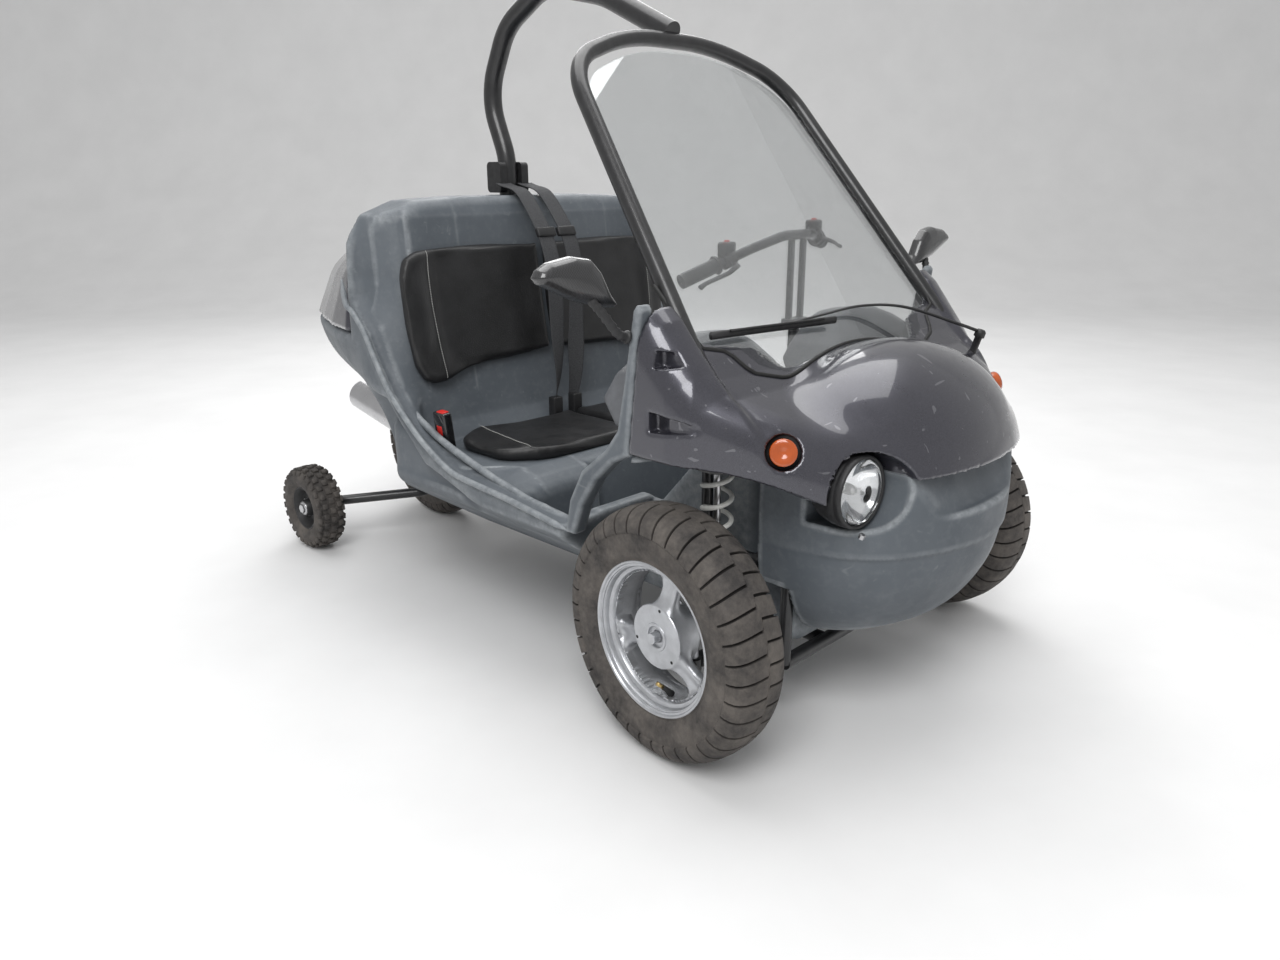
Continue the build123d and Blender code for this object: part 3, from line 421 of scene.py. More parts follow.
def paint_finish():
    """Gloss metallic graphite: fine flakes under a clear coat with hairline scratches."""
    made = Finish("gloss_paint", metallic=0.55, coat=1.0)
    base = made.mix(made.ramp(made.noise(1500, 1), 0.4, 0.65), (0.030, 0.030, 0.040), (0.075, 0.074, 0.092))
    scratch = made.ramp(made.noise(70, 1, 0.5, (1, 0.05, 0.9), 0.4), 0.735, 0.75)
    other = made.ramp(made.noise(60, 1, 0.5, (0.06, 1, 1), 0.4), 0.745, 0.76)
    lines = made.maths("MULTIPLY", made.maths("ADD", scratch, other, clamp=True), 0.45)
    made.colour(made.mix(lines, base, (0.22, 0.22, 0.24)))
    made.roughness(made.wander(30, 3, 0.26, 0.36))
    made.put(made.surface.inputs["Coat Roughness"], made.ramp(made.noise(9, 4), 0.35, 0.7, 0.03, 0.10))
    made.bump(made.noise(6, 1), 0.0015, 0.4)
    return made.material


def tyre_finish():
    """Rubber with dust on its sides and on the tops of its bars, and painted shade in the grooves between its
    blocks.
    """
    made = Finish("tyre_rubber", specular=0.3)
    dust = made.maths("ADD", made.noise(14, 4), made.maths("MULTIPLY", made.noise(90, 4, 0.7), 0.5))
    base = made.mix(made.ramp(dust, 0.55, 1.0), (0.040, 0.037, 0.036), (0.130, 0.116, 0.104))
    # The grooves are painted near-black, darker than clean rubber: painted shade between the bars
    made.colour(made.mix(made.attribute("groove_shade"), base, (0.018, 0.016, 0.015)))
    made.roughness(made.wander(60, 3, 0.68, 0.88))
    made.bump(made.noise(420, 3), 0.0006)
    return made.material


def webbing_finish():
    """Ribbed woven webbing."""
    made = Finish("webbing", specular=0.25)
    made.colour(made.mix(made.ramp(made.noise(700, 2), 0.35, 0.65),
                         (0.040, 0.041, 0.044), (0.085, 0.086, 0.090)))
    made.roughness(0.8)
    made.bump(made.noise(1300, 1), 0.0006)
    return made.material


def vinyl_finish():
    """Black grained seat vinyl with a soft sheen."""
    made = Finish("black_vinyl")
    made.colour(made.mix(made.ramp(made.noise(12, 4), 0.35, 0.7),
                         (0.0085, 0.0085, 0.009), (0.018, 0.018, 0.019)))
    made.roughness(made.wander(25, 3, 0.34, 0.48))
    made.bump(made.add("TexVoronoi", {"Vector": made.place, "Scale": 420}).outputs["Distance"], 0.0005, 0.6)
    return made.material


def lens_finish():
    """Clear moulded glass, lightly dusted."""
    made = Finish("lamp_lens")
    made.surface.inputs["Transmission Weight"].default_value = 1.0
    made.surface.inputs["IOR"].default_value = 1.45
    made.colour(made.mix(made.wander(20, 3), (0.95, 0.96, 0.97), (0.9785, 0.9888, 0.9991)))
    made.roughness(made.ramp(made.noise(15, 4), 0.45, 0.8, 0.0, 0.04))
    return made.material


def pane_finish():
    """The windscreen's thin pane: seen through, with a faint reflection and dust."""
    made = Finish("clear_glass")
    clear = made.add("BsdfTransparent", {"Color": (0.972, 0.982, 0.984, 1)})
    gloss = made.add("BsdfGlossy", {"Roughness": 0.02})
    dust = made.add("BsdfDiffuse", {"Color": (0.55, 0.56, 0.57, 1)})
    facing = made.maths("MULTIPLY", made.add("Fresnel", {"IOR": 1.45}).outputs[0], 0.5)
    clean = made.add("MixShader", {0: facing, 1: clear.outputs[0], 2: gloss.outputs[0]})
    dusty = made.add("MixShader", {0: made.ramp(made.noise(9, 5, 0.6), 0.45, 0.8, 0.0, 0.035),
                                   1: clean.outputs[0], 2: dust.outputs[0]})
    made.put(made.tree.nodes["Material Output"].inputs["Surface"], dusty.outputs[0])
    made.tree.nodes.remove(made.surface)
    return made.material


def carbon_finish():
    """Woven black fibre under clear coat, as a checker of two directions."""
    made = Finish("mirror_shell", coat=1.0, coat_roughness=0.06)
    weave = made.add("TexChecker", {"Vector": made.place, "Scale": 380, "Color1": (0.005, 0.005, 0.006, 1),
                                    "Color2": (0.022, 0.022, 0.024, 1)})
    made.colour(weave.outputs["Color"])
    made.roughness(made.wander(200, 2, 0.3, 0.45))
    return made.material


FINISHES = {
    "tub_plastic": tub_finish(), "gloss_paint": paint_finish(), "clear_glass": pane_finish(),
    "black_vinyl": vinyl_finish(), "webbing": webbing_finish(), "tyre_rubber": tyre_finish(),
    "lamp_lens": lens_finish(), "mirror_shell": carbon_finish(),
}
# Colour, its spread, range of roughness, and what else differs
SIMPLE = {
    "black_steel": ((0.014, 0.014, 0.015), 0.3, (0.28, 0.42), {"coat": 0.3, "grain": 0.0001}),
    "black_plastic": ((0.016, 0.016, 0.017), 0.25, (0.4, 0.6), {"grain": 0.0002}),
    "dash_plastic": ((0.115, 0.12, 0.13), 0.15, (0.45, 0.6), {"grain": 0.0003}),
    "cast_alloy": ((0.48, 0.49, 0.51), 0.12, (0.30, 0.42),
                   {"metallic": 0.8, "grain": 0.0003, "grain_scale": 500}),
    "rubber": ((0.014, 0.014, 0.014), 0.3, (0.6, 0.8), {"grain": 0.0004}),
    "white_spring": ((0.66, 0.66, 0.63), 0.12, (0.3, 0.5), {}),
    "bright_steel": ((0.50, 0.50, 0.51), 0.05, (0.27, 0.31), {"metallic": 1.0, "scale": 14.0}),
    "engine_alloy": ((0.20, 0.20, 0.205), 0.25, (0.45, 0.65), {"metallic": 0.7, "grain": 0.0006}),
    "amber_lens": ((0.44, 0.075, 0.006), 0.12, (0.12, 0.2), {"coat": 0.8}),
    "red_lens": ((0.45, 0.012, 0.010), 0.15, (0.12, 0.2), {"coat": 0.8}),
}
# Finishes of pieces that no CAD slot names
EXTRA = {
    "seal": ((0.010, 0.010, 0.010), 0.2, (0.5, 0.7), {}),
    "mirror_glass": ((0.85, 0.87, 0.88), 0.03, (0.02, 0.05), {"metallic": 1.0}),
    "reflector": ((0.86, 0.86, 0.86), 0.05, (0.06, 0.14), {"metallic": 1.0}),
    "brass": ((0.52, 0.38, 0.16), 0.15, (0.25, 0.35), {"metallic": 1.0}),
    "black_gloss": ((0.008, 0.008, 0.009), 0.2, (0.1, 0.2), {"coat": 0.6}),
    "red_plastic": ((0.55, 0.02, 0.015), 0.12, (0.3, 0.45), {}),
    "thread": ((0.55, 0.55, 0.53), 0.15, (0.6, 0.8), {}),
    "bulb": ((0.80, 0.80, 0.78), 0.05, (0.1, 0.2), {"coat": 0.5}),
    # Near-black for the rim's screw holes and hub bore and the indicator pocket's floor: painted shade in
    # these hollows
    "painted_hollow_shade": ((0.010, 0.010, 0.011), 0.3, (0.7, 0.9), {}),
}
for name, (colour, spread, roughness, more) in (SIMPLE | EXTRA).items():
    FINISHES[name] = simple_finish(name, colour, spread, roughness, **more)


def coat(finish, *pieces):
    """Gives pieces a finish of their own before they are joined to others."""
    for piece in pieces:
        piece.data.materials.append(FINISHES[finish])


def dress(piece, body, slot=None, extra=None, stands_for=()):
    """Gives a piece its finish, its body and the CAD nodes that it stands for."""
    if slot or extra:
        piece.data.materials.clear()
        coat(slot or extra, piece)
    if stands_for:
        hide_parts(*stands_for)
    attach(piece, body)
    return piece


# Cowl, bumper, engine cover and tub as one-piece moulded forms, in metres by station

LAMP_PLACE = (0.267, -0.243, 0.513)
LAMP_BORE = 0.073
INDICATOR_PLACE = (0.396, -0.172, 0.596)
INDICATOR_POCKET = (0.0305, 0.03)  # radius, depth
INDICATOR_AXIS = tuple(Vector((0.76, -0.6, 0.25)).normalized())
ARCH_PLACE = (0.0, 0.255)
ARCH_RADIUS = 0.3
ARCH_INNER = 0.24  # half the width of the body between the front arches
BAR_STATION, BAR_SOCKET = 1.03, 0.0238
TAIL_LAMP_PLACE, TAIL_LAMP_BORE = (0.068, 0.648), 0.0178
COWL_SIDE = [
    # station, height
    (0.2, 0.4), (0.2, 0.9), (0.11, 0.87), (0.06, 0.822), (0.03, 0.797), (0.0, 0.76), (-0.04, 0.716),
    (-0.075, 0.687), (-0.15, 0.652), (-0.25, 0.604), (-0.33, 0.565), (-0.372, 0.53), (-0.4, 0.4),
]
COWL_PLAN = [
    # across, station
    (-0.2, 0.3), (0.498, 0.3), (0.498, 0.0), (0.488, -0.045), (0.4, -0.17), (0.348, -0.22), (0.3, -0.256),
    (0.228, -0.305), (0.12, -0.345), (0.0, -0.358), (-0.2, -0.345),
]
COWL_EDGE = [
    # across, height of the lower edge, which dips to a point beside the headlight
    (-0.1, 0.531), (0.0, 0.531), (0.158, 0.532), (0.228, 0.533), (0.26, 0.52), (0.3, 0.502), (0.335, 0.501),
    (0.351, 0.508), (0.387, 0.528), (0.426, 0.546), (0.46, 0.557), (0.498, 0.562), (0.55, 0.562),
]
VENTS = [
    # height, rear edge, tip, half height
    (0.737, 0.032, -0.044, 0.015), (0.629, 0.04, -0.062, 0.018),
]
BUMPER_WIDTH = [(0.165, 0.17), (0.22, 0.25), (0.3, 0.29), (0.38, 0.298), (0.46, 0.3), (0.545, 0.296)]
BUMPER_TIP = [(0.165, -0.18), (0.22, -0.275), (0.3, -0.33), (0.38, -0.35), (0.46, -0.353), (0.545, -0.35)]
BUMPER_TOP = 0.5444
BUMPER_REAR = (-0.051, -0.118)  # station of its rear face, above a height of 0.3 and below it
BUMPER_WALL, LAMP_WALL, TUB_WALL = 0.022, 0.02, 0.024
COVER_PLAN = [
    (-0.2, 1.0), (0.497, 1.0), (0.48, 1.075), (0.45, 1.2), (0.405, 1.325), (0.353, 1.45), (0.24, 1.6),
    (0.16, 1.665), (0.09, 1.693), (0.0, 1.7), (-0.2, 1.695),
]
COVER_TOP = [
    # station, height
    (0.9, 0.962), (1.0, 0.957), (1.1, 0.944), (1.3, 0.902), (1.45, 0.848), (1.55, 0.8), (1.69, 0.68),
    (1.75, 0.6),
]
COVER_SHIFT = [(0.64, 0.0), (0.67, 0.0), (0.735, 0.07), (0.8, 0.15), (0.85, 0.275), (0.9, 0.4), (0.93, 0.55),
               (0.955, 0.7), (0.99, 0.95)]
TUB_CENTRE = [
    # station, height
    (-0.1, 0.1465), (0.9, 0.1465), (1.12, 0.33), (1.18, 0.52), (1.42, 0.545), (1.7, 0.63), (1.7, 0.669),
    (1.0645, 0.669), (1.0645, 0.99), (0.948, 0.99), (0.93, 0.94), (0.905, 0.7), (0.882, 0.56), (0.862, 0.46),
    (0.835, 0.415), (0.53, 0.415), (0.49, 0.405), (0.45, 0.382), (0.25, 0.378), (0.09, 0.56), (-0.1, 0.545),
]
TUB_OUTER = [
    (-0.1, 0.325), (0.29, 0.327), (0.45, 0.325), (0.54, 0.333), (0.62, 0.358), (0.7, 0.381), (0.76, 0.396),
    (0.81, 0.44), (0.86, 0.484), (0.9, 0.526), (1.03, 0.546), (1.24, 0.566), (1.7, 0.628), (1.7, 0.669),
    (1.0645, 0.669), (1.0645, 0.99), (1.04, 0.99), (1.045, 0.8), (1.035, 0.755), (1.016, 0.73),
    (0.962, 0.683), (0.92, 0.616), (0.874, 0.552), (0.82, 0.506), (0.766, 0.465), (0.7, 0.43),
    (0.637, 0.407), (0.447, 0.392), (0.258, 0.372), (0.09, 0.56), (-0.1, 0.545),
]
TUB_FRONT = [
    # across, height
    (-0.2, 0.1465), (0.2, 0.1465), (0.472, 0.332), (0.4985, 0.352), (0.4995, 0.62), (0.4975, 0.742),
    (0.491, 0.8), (0.476, 0.88), (0.43, 0.945), (0.34, 0.975), (0.2, 0.983), (-0.2, 0.983),
]
TUB_PLAN = [
    (-0.2, -0.1), (0.24, -0.1), (0.24, 0.0), (0.4995, 0.0), (0.4995, 0.985), (0.485, 1.05), (0.452, 1.2),
    (0.405, 1.325), (0.355, 1.449), (0.24, 1.6), (0.16, 1.664), (0.09, 1.692), (0.0, 1.699), (-0.2, 1.694),
]
TAIL_SHIFT = [(0.4, 0.6), (0.5, 0.245), (0.55, 0.115), (0.6, 0.04), (0.665, 0.0), (0.7, 0.0), (1.0, 0.0)]
FOOTWELL = [(-0.088, 0.175), (0.44, 0.175), (0.49, 0.4), (0.52, 0.75), (-0.088, 0.75)]
FOOT_SPACE = [(0.315, 0.175), (0.44, 0.175), (0.455, 0.4), (0.455, 0.75), (0.315, 0.75)]
CABIN_SIDE = [(-0.2, 0.161), (0.199, 0.161), (0.436, 0.322), (0.436, 1.2), (-0.2, 1.2)]
ENGINE_BAY = [(0.9, 0.1), (0.9, 0.4), (0.925, 0.545), (0.985, 0.66), (1.6, 0.66), (1.6, 0.1)]
RIM_RIDGE = [
    # across, station, height of the bead on the outer rim
    (0.495, 1.045, 0.8), (0.4955, 1.035, 0.742), (0.4955, 1.008, 0.725), (0.4955, 0.962, 0.683),
    (0.4955, 0.92, 0.618), (0.4955, 0.874, 0.556), (0.4955, 0.82, 0.508), (0.4955, 0.766, 0.468),
    (0.4955, 0.7, 0.432), (0.4955, 0.637, 0.409), (0.4955, 0.54, 0.4), (0.4955, 0.447, 0.394),
    (0.4955, 0.33, 0.382), (0.4955, 0.262, 0.374),
]
INNER_RIDGE = [
    (0.455, 0.985, 0.7), (0.45, 0.966, 0.645), (0.45, 0.943, 0.59), (0.45, 0.9, 0.54), (0.45, 0.84, 0.497),
    (0.45, 0.79, 0.474), (0.45, 0.739, 0.454), (0.45, 0.66, 0.432), (0.45, 0.574, 0.411), (0.45, 0.5, 0.396),
    (0.45, 0.422, 0.382), (0.45, 0.336, 0.378),
]


def rod_distance(x, y, z, a, b):
    """Distance to a straight line between two points."""
    d = [q - p for p, q in zip(a, b)]
    wx, wy, wz = x - a[0], y - a[1], z - a[2]
    t = np.clip((wx * d[0] + wy * d[1] + wz * d[2]) / sum(v * v for v in d), 0, 1)
    return np.sqrt((wx - d[0] * t)**2 + (wy - d[1] * t)**2 + (wz - d[2] * t)**2)


def lamp_bore(x, y, z):
    """Negative in the round bores of the headlights, in front of the spring towers."""
    aside = np.sqrt((np.abs(x) - LAMP_PLACE[0])**2 + (z - LAMP_PLACE[2])**2)
    return np.maximum(aside - LAMP_BORE, y + 0.15)


def cowl_outside(x, y, z):
    """The cowl's smooth outer form: the wings with the bonnet's hump grown out of them."""
    w = np.abs(x)
    inboard = step(-w, -0.425, -0.402)
    drop = inboard * (0.016 + 0.016 * step(y, -0.01, 0.03))
    wings = blend_max(polygon(y, z + drop, COWL_SIDE), polygon(w, y, COWL_PLAN), 0.07)
    hump = np.sqrt((x / 0.33)**2 + ((y + 0.13) / 0.219)**2 + ((z - 0.511) / 0.219)**2)
    return blend_min(wings, (hump - 1) * 0.2, 0.03)


def screen_station(x, z):
    """Where the windscreen's bowed and sloping surface lies."""
    return 0.032 + 0.835 * (z - 0.8) + 0.153 * x * x


def screen_front(x, y, z):
    """Distance in front of the windscreen's surface, about square to it."""
    return (screen_station(x, z) - y) * 0.768


def cowl_bounds(x, y, z):
    """Negative above the bumper and ahead of the pillars."""
    rear = (y - 0.0889) * 0.993 + (z - 0.562) * 0.118
    return np.maximum(table(np.abs(x), COWL_EDGE) - z, rear)


def behind_screen(x, y, z):
    """Negative well behind the windscreen's surface, between its posts, and under the skin below its edge."""
    cut = np.maximum(screen_front(x, y, z) + 0.01, np.abs(x) - 0.428)
    return np.maximum(cut, np.minimum(cowl_outside(x, y, z) + 0.018, 0.59 - z))


def cowl(x, y, z):
    """The painted front cowl, with its vents, lamp bores and indicator pockets cut out."""
    w = np.abs(x)
    outside = cowl_outside(x, y, z)
    value = blend_max(outside, -behind_screen(x, y, z), 0.014)
    value = np.maximum(value, -lamp_bore(x, y, z))
    for height, rear, tip, half in VENTS:
        reach = np.clip((y - tip) / (rear - tip), 0, 1.2)
        vent = np.maximum(np.maximum(np.abs(z - height) - half * reach**0.5, y - rear),
                          -outside - 0.026 * reach)
        vent = np.maximum(np.maximum(vent, 0.004 + tip - y), 0.466 - w)
        value = blend_max(value, -vent, 0.004)
    dx, dy, dz = w - INDICATOR_PLACE[0], y - INDICATOR_PLACE[1], z - INDICATOR_PLACE[2]
    along = dx * INDICATOR_AXIS[0] + dy * INDICATOR_AXIS[1] + dz * INDICATOR_AXIS[2]
    aside = np.sqrt(np.maximum(dx**2 + dy**2 + dz**2 - along**2, 0))
    value = np.maximum(value, -np.maximum(aside - INDICATOR_POCKET[0], -INDICATOR_POCKET[1] - along))
    return np.maximum(value, cowl_bounds(x, y, z))


def plate_recess(x, y, z):
    """Negative in the shallow recess for a number plate, its floor sloping back and up."""
    width = 0.15 + np.clip((z - 0.455) / 0.034, 0, 1) * 0.05
    floor = y - (-0.333 + (z - 0.455) * 0.42)
    return blend_max(blend_max(np.abs(x) - width, 0.457 - z, 0.012), floor, 0.012)


def bumper_outside(x, y, z):
    """The bumper's full form, a bowed nose that narrows downward."""
    size = table(z, BUMPER_WIDTH) / 0.3
    u, v = x / size, (y - table(z, BUMPER_TIP)) / size
    bow = blend_max(0.5795 * u - 0.815 * v - 0.0705, -0.5795 * u - 0.815 * v - 0.0705, 0.282)
    value = blend_max(np.abs(u) - 0.3, bow, 0.1) * size
    proud = step(z, 0.38, 0.387) * step(np.abs(x), 0.302, 0.27)
    return blend_max(value - 0.004 * proud, 0.166 - z, 0.03)


def bumper(x, y, z):
    """The bumper as an open shell, with its plate recess and lamp bores."""
    outside, recess, bore = bumper_outside(x, y, z), plate_recess(x, y, z), lamp_bore(x, y, z)
    value = blend_max(outside, -recess, 0.008)
    inside = np.maximum(np.maximum(outside + BUMPER_WALL, BUMPER_WALL - recess), LAMP_WALL - bore)
    value = np.maximum(np.maximum(value, -inside), -bore)
    rear = y - np.where(z > 0.3, *BUMPER_REAR)
    return np.maximum(np.maximum(value, rear), z - BUMPER_TOP)


def cover(x, y, z):
    """The painted engine cover, whose plan draws in as it rises."""
    shift = table(z, COVER_SHIFT)
    value = polygon(np.abs(x), y + shift * (1 - 0.45 * (np.abs(x) / 0.45)**2), COVER_PLAN) * 0.8
    value = blend_max(value, (z - table(y, COVER_TOP)) * 0.85, 0.03)
    return np.maximum(blend_max(value, 1.0662 - y, 0.012), 0.6706 - z)


def tub(x, y, z):
    """The body tub: floor, bench, sills, wheel arches and rear."""
    w = np.abs(x)
    centre, outer = polygon(y, z, TUB_CENTRE), polygon(y, z, TUB_OUTER)
    share = step(w, 0.375, 0.487)
    value = centre * (1 - share) + outer * share
    # The bench reaches out under the sill's rear rise and closes the side there
    reach = 0.385 + 0.086 * step(y, 0.54, 0.66) * step(-y, -1.02, -0.9) * step(-z, -0.54, -0.45)
    raised = 0.045 * step(w, 0.415, 0.45) * step(y, 0.74, 0.82)
    value = blend_min(value, np.maximum(centre - raised, w - reach), 0.012)
    # The channel between the two ridges of the sill
    channel = (np.exp(-((w - 0.472) / 0.011)**2) * step(y, 0.27, 0.34) * step(-y, -1.02, -0.94)
               * step(z, 0.35, 0.37))
    value = value + 0.01 * channel
    tail = 0.5 + 0.5 * (w / 0.35)**2
    flank, plan = (polygon(w, z, TUB_FRONT),
                   polygon(w, y + table(z, TAIL_SHIFT) * tail * step(y, 0.9, 1.1), TUB_PLAN))
    value = blend_max(blend_max(value, flank, 0.022), plan, 0.03)
    # Cabin, engine bay and wheel arches
    cabin = polygon(w, z, CABIN_SIDE)
    hollow = np.minimum(np.maximum(polygon(y, z, FOOTWELL), w - 0.228),
                        np.maximum(polygon(y, z, FOOT_SPACE), cabin))
    hollow = np.maximum(blend_max(hollow, cabin, 0.02), np.maximum(flank, plan) + TUB_WALL)
    value = blend_max(value, -hollow, 0.018)
    value = np.maximum(value, -np.maximum(polygon(y, z, ENGINE_BAY), w - 0.2))
    arch = ARCH_RADIUS - np.sqrt((y - ARCH_PLACE[0])**2 + (np.maximum(z, ARCH_PLACE[1]) - ARCH_PLACE[1])**2)
    value = blend_max(value, np.minimum(arch, w - ARCH_INNER), 0.012)
    front = np.maximum(0.052 - y, ARCH_INNER - w)
    value = np.where(w > ARCH_INNER, np.maximum(value, np.minimum(front, w - ARCH_INNER)), value)
    # Sockets of the roll bar and the rear lamps
    bar = rod_distance(x, y, z, (0, BAR_STATION, 0.47), (0, BAR_STATION, 1.1)) - BAR_SOCKET
    lamps = np.sqrt((w - TAIL_LAMP_PLACE[0])**2 + (z - TAIL_LAMP_PLACE[1])**2) - TAIL_LAMP_BORE
    value = np.maximum(value, -np.minimum(bar, np.maximum(lamps, 1.6885 - y)))
    return value


STRIP = [
    # station, height of the pillar strip behind the cowl, which flares into the wheel arch's lip
    (0.0905, 0.556), (0.0885, 0.575), (0.06, 0.816), (0.068, 0.826), (0.076, 0.815), (0.101, 0.68),
    (0.118, 0.6), (0.15, 0.558), (0.215, 0.505), (0.25, 0.44), (0.265, 0.37), (0.24, 0.37),
    (0.215, 0.435), (0.175, 0.495), (0.13, 0.537),
]


def pillar(x, y, z):
    """The strip that frames the rear edge of the cowl and runs on as the lip of the wheel arch."""
    return blend_max(polygon(y, z, STRIP), np.abs(x - 0.4805) - 0.0185, 0.01)


FINE = 0.0055
tub_cell = 0.009
strip_cell = 0.0035
FORMS = [
    # CAD node, shape, its box, cell, slot
    ("front_cowl", cowl, (-0.512, -0.385, 0.485), (0.512, 0.11, 0.845), FINE * 0.84, "gloss_paint"),
    ("front_bumper", bumper, (-0.32, -0.375, 0.15), (0.32, -0.03, 0.56), FINE, "tub_plastic"),
    ("engine_cover", cover, (-0.51, 1.05, 0.655), (0.51, 1.72, 0.975), FINE * 1.4, "gloss_paint"),
]
for node, shape, low, high, cell, slot in FORMS:
    dress(shell(f"{node}_form", shape, low, high, cell), "body", slot, stands_for=[node])
tub_form = shell("tub_form", tub, (-0.512, -0.115, 0.135), (0.512, 1.715, 1.0), tub_cell)
# No wear below the rear, where the blend of the two side views makes false edges
spots = np.array([vertex.co for vertex in tub_form.data.vertices])
under = step(spots[:, 1] - AXLE_Y, 0.72, 0.84) * step(-spots[:, 2], -0.54, -0.5)
marks = tub_form.data.attributes["wear"].data
worn = np.zeros(len(spots), np.float32)
marks.foreach_get("value", worn)
marks.foreach_set("value", (worn * (1 - under)).astype(np.float32))
tub_parts = [tub_form]
for side in SIDES.values():
    tub_parts.append(on_side(shell("pillar_strip", pillar, (0.455, 0.05, 0.36), (0.506, 0.275, 0.835),
                                   strip_cell, 0.006), side))
    for ridge, radius in ((RIM_RIDGE, 0.0065), (INNER_RIDGE, 0.0085)):
        line = [beside(p, side) for p in curve_through(ridge, 6)]
        # Both ends of a bead run out
        sizes = [radius * min(1, 0.25 + 0.25 * min(i, len(line) - 1 - i)) for i in range(len(line))]
        bead = sweep("bead", line, sizes, 12)
        mark(bead, "wear", [0.5] * len(bead.data.vertices))
        tub_parts.append(bead)
dress(join("tub_form", tub_parts), "body", "tub_plastic", stands_for=["body_tub"])


# Wheels

BLOCKS = 38
NOTCH_DEPTH = 0.0012
BEAD_RADIUS = 0.1425
FRONT_TYRE = (0.062, 0.24)  # half width, radius
REAR_TYRE = (0.05, 0.222)
# One side of the front tyre as (along, radius): its side wall, the tops of the tread's bars,
# then their grooves
SIDEWALL = [
    (0.0512, 0.1425), (0.053, 0.1475), (0.0522, 0.15), (0.056, 0.156), (0.0588, 0.166), (0.06, 0.178),
    (0.06, 0.188), (0.0592, 0.1965),
]
TREAD_TOP = [
    (0.0622, 0.2), (0.0612, 0.2085), (0.0575, 0.2185), (0.0515, 0.2265), (0.043, 0.2325), (0.033, 0.2365),
    (0.022, 0.2388), (0.011, 0.2397), (0.0022, 0.2398),
]
TREAD_BASE = [
    (0.0588, 0.1985), (0.0572, 0.2065), (0.053, 0.2145), (0.0475, 0.2208), (0.04, 0.2262), (0.031, 0.2298),
    (0.021, 0.232), (0.0105, 0.233), (0.0022, 0.2332),
]
# Where the samples of one pitch lie, and which of them are on top of the bar
PITCH = [(0, 1), (0.03, 0), (0.11, 0), (0.14, 1), (0.43, 1), (0.71, 1)]


def tyre(name, half_width, radius):
    """A tyre with slanting bars across its tread, round the X axis; +X is its outer side."""
    rows = [(along, r, along, r, 0) for along, r in SIDEWALL]
    rows += [(*top, *base, 1) for top, base in zip(TREAD_TOP, TREAD_BASE)]
    rows += [(-a, r, -b, s, t) for a, r, b, s, t in reversed(rows)]
    wide, tall = half_width / FRONT_TYRE[0], (radius - BEAD_RADIUS) / (FRONT_TYRE[1] - BEAD_RADIUS)
    points, faces, grooves = [], [], []
    for along, r, base_along, base_r, in_tread in rows:
        r, base_r = (BEAD_RADIUS + (q - BEAD_RADIUS) * tall for q in (r, base_r))
        skew = 0.22 * (abs(along) / FRONT_TYRE[0])**1.5 + (0.25 if along > 0 else -0.25)
        for k in range(BLOCKS):
            for place, top in PITCH:
                high = top or not in_tread
                a, q = (along, r) if high else (base_along, base_r)
                if in_tread and high and k % 2 and place > 0.3 and 0.030 < abs(along) < 0.034:
                    q -= NOTCH_DEPTH
                angle = tau * (k + place + skew) / BLOCKS
                points.append((a * wide, q * sin(angle), q * cos(angle)))
                grooves.append(0 if high else 1)
    around = BLOCKS * len(PITCH)
    for i in range(len(rows) - 1):
        for j in range(around):
            a, b = i * around + j, i * around + (j + 1) % around
            faces.append((a, a + around, b + around, b))
    piece = sharpen(new_object(name, points, faces), 28)
    # Points at the bottoms of the grooves are marked for the painted shade that the rubber's finish puts
    # there
    mark(piece, "groove_shade", grooves)
    # Mould line round the crown
    crown = radius - 0.0004
    line = [Vector((0, crown * sin(t), crown * cos(t))) for t in np.linspace(0, tau, 97)]
    return join(name, [piece, sweep(f"{name}_seam", line, 0.0009, 5)])


RIM_SECTION = [
    # along, radius: from the outer lip over the visible side to the inner lip, then back under the tyre
    (0.0528, 0.1462), (0.0538, 0.1448), (0.0536, 0.1428), (0.052, 0.1412), (0.0485, 0.1402), (0.047, 0.1385),
    (0.0462, 0.135), (0.044, 0.1335), (0.036, 0.1322), (0.0345, 0.13), (0.0335, 0.1262), (0.031, 0.1245),
    (0.015, 0.1215), (0, 0.1195), (-0.02, 0.1195), (-0.034, 0.1255), (-0.036, 0.1315), (-0.046, 0.1335),
    (-0.048, 0.139), (-0.052, 0.1412), (-0.0538, 0.1435), (-0.0528, 0.1462), (-0.05, 0.1455), (-0.049, 0.137),
    (-0.038, 0.1345), (-0.03, 0.125), (0, 0.1235), (0.03, 0.1285), (0.038, 0.1345), (0.049, 0.137),
    (0.05, 0.1455), (0.0528, 0.1462),
]
HUB_PLATE = [
    (0.028, 0.0615), (0.0335, 0.0615), (0.0352, 0.06), (0.0356, 0.027), (0.0372, 0.0262), (0.0376, 0.0245),
    (0.0376, 0.0215), (0.0366, 0.02), (0.025, 0.0198), (0.025, 0.0105),
]
SPOKE_ANGLES = [radians(a) for a in (10, 130, 250)]
SPOKE_END = 0.1235
VALVE_ANGLE = radians(172)
VALVE = [(0.012, 0.119), (0.02, 0.109), (0.031, 0.098), (0.043, 0.087)]


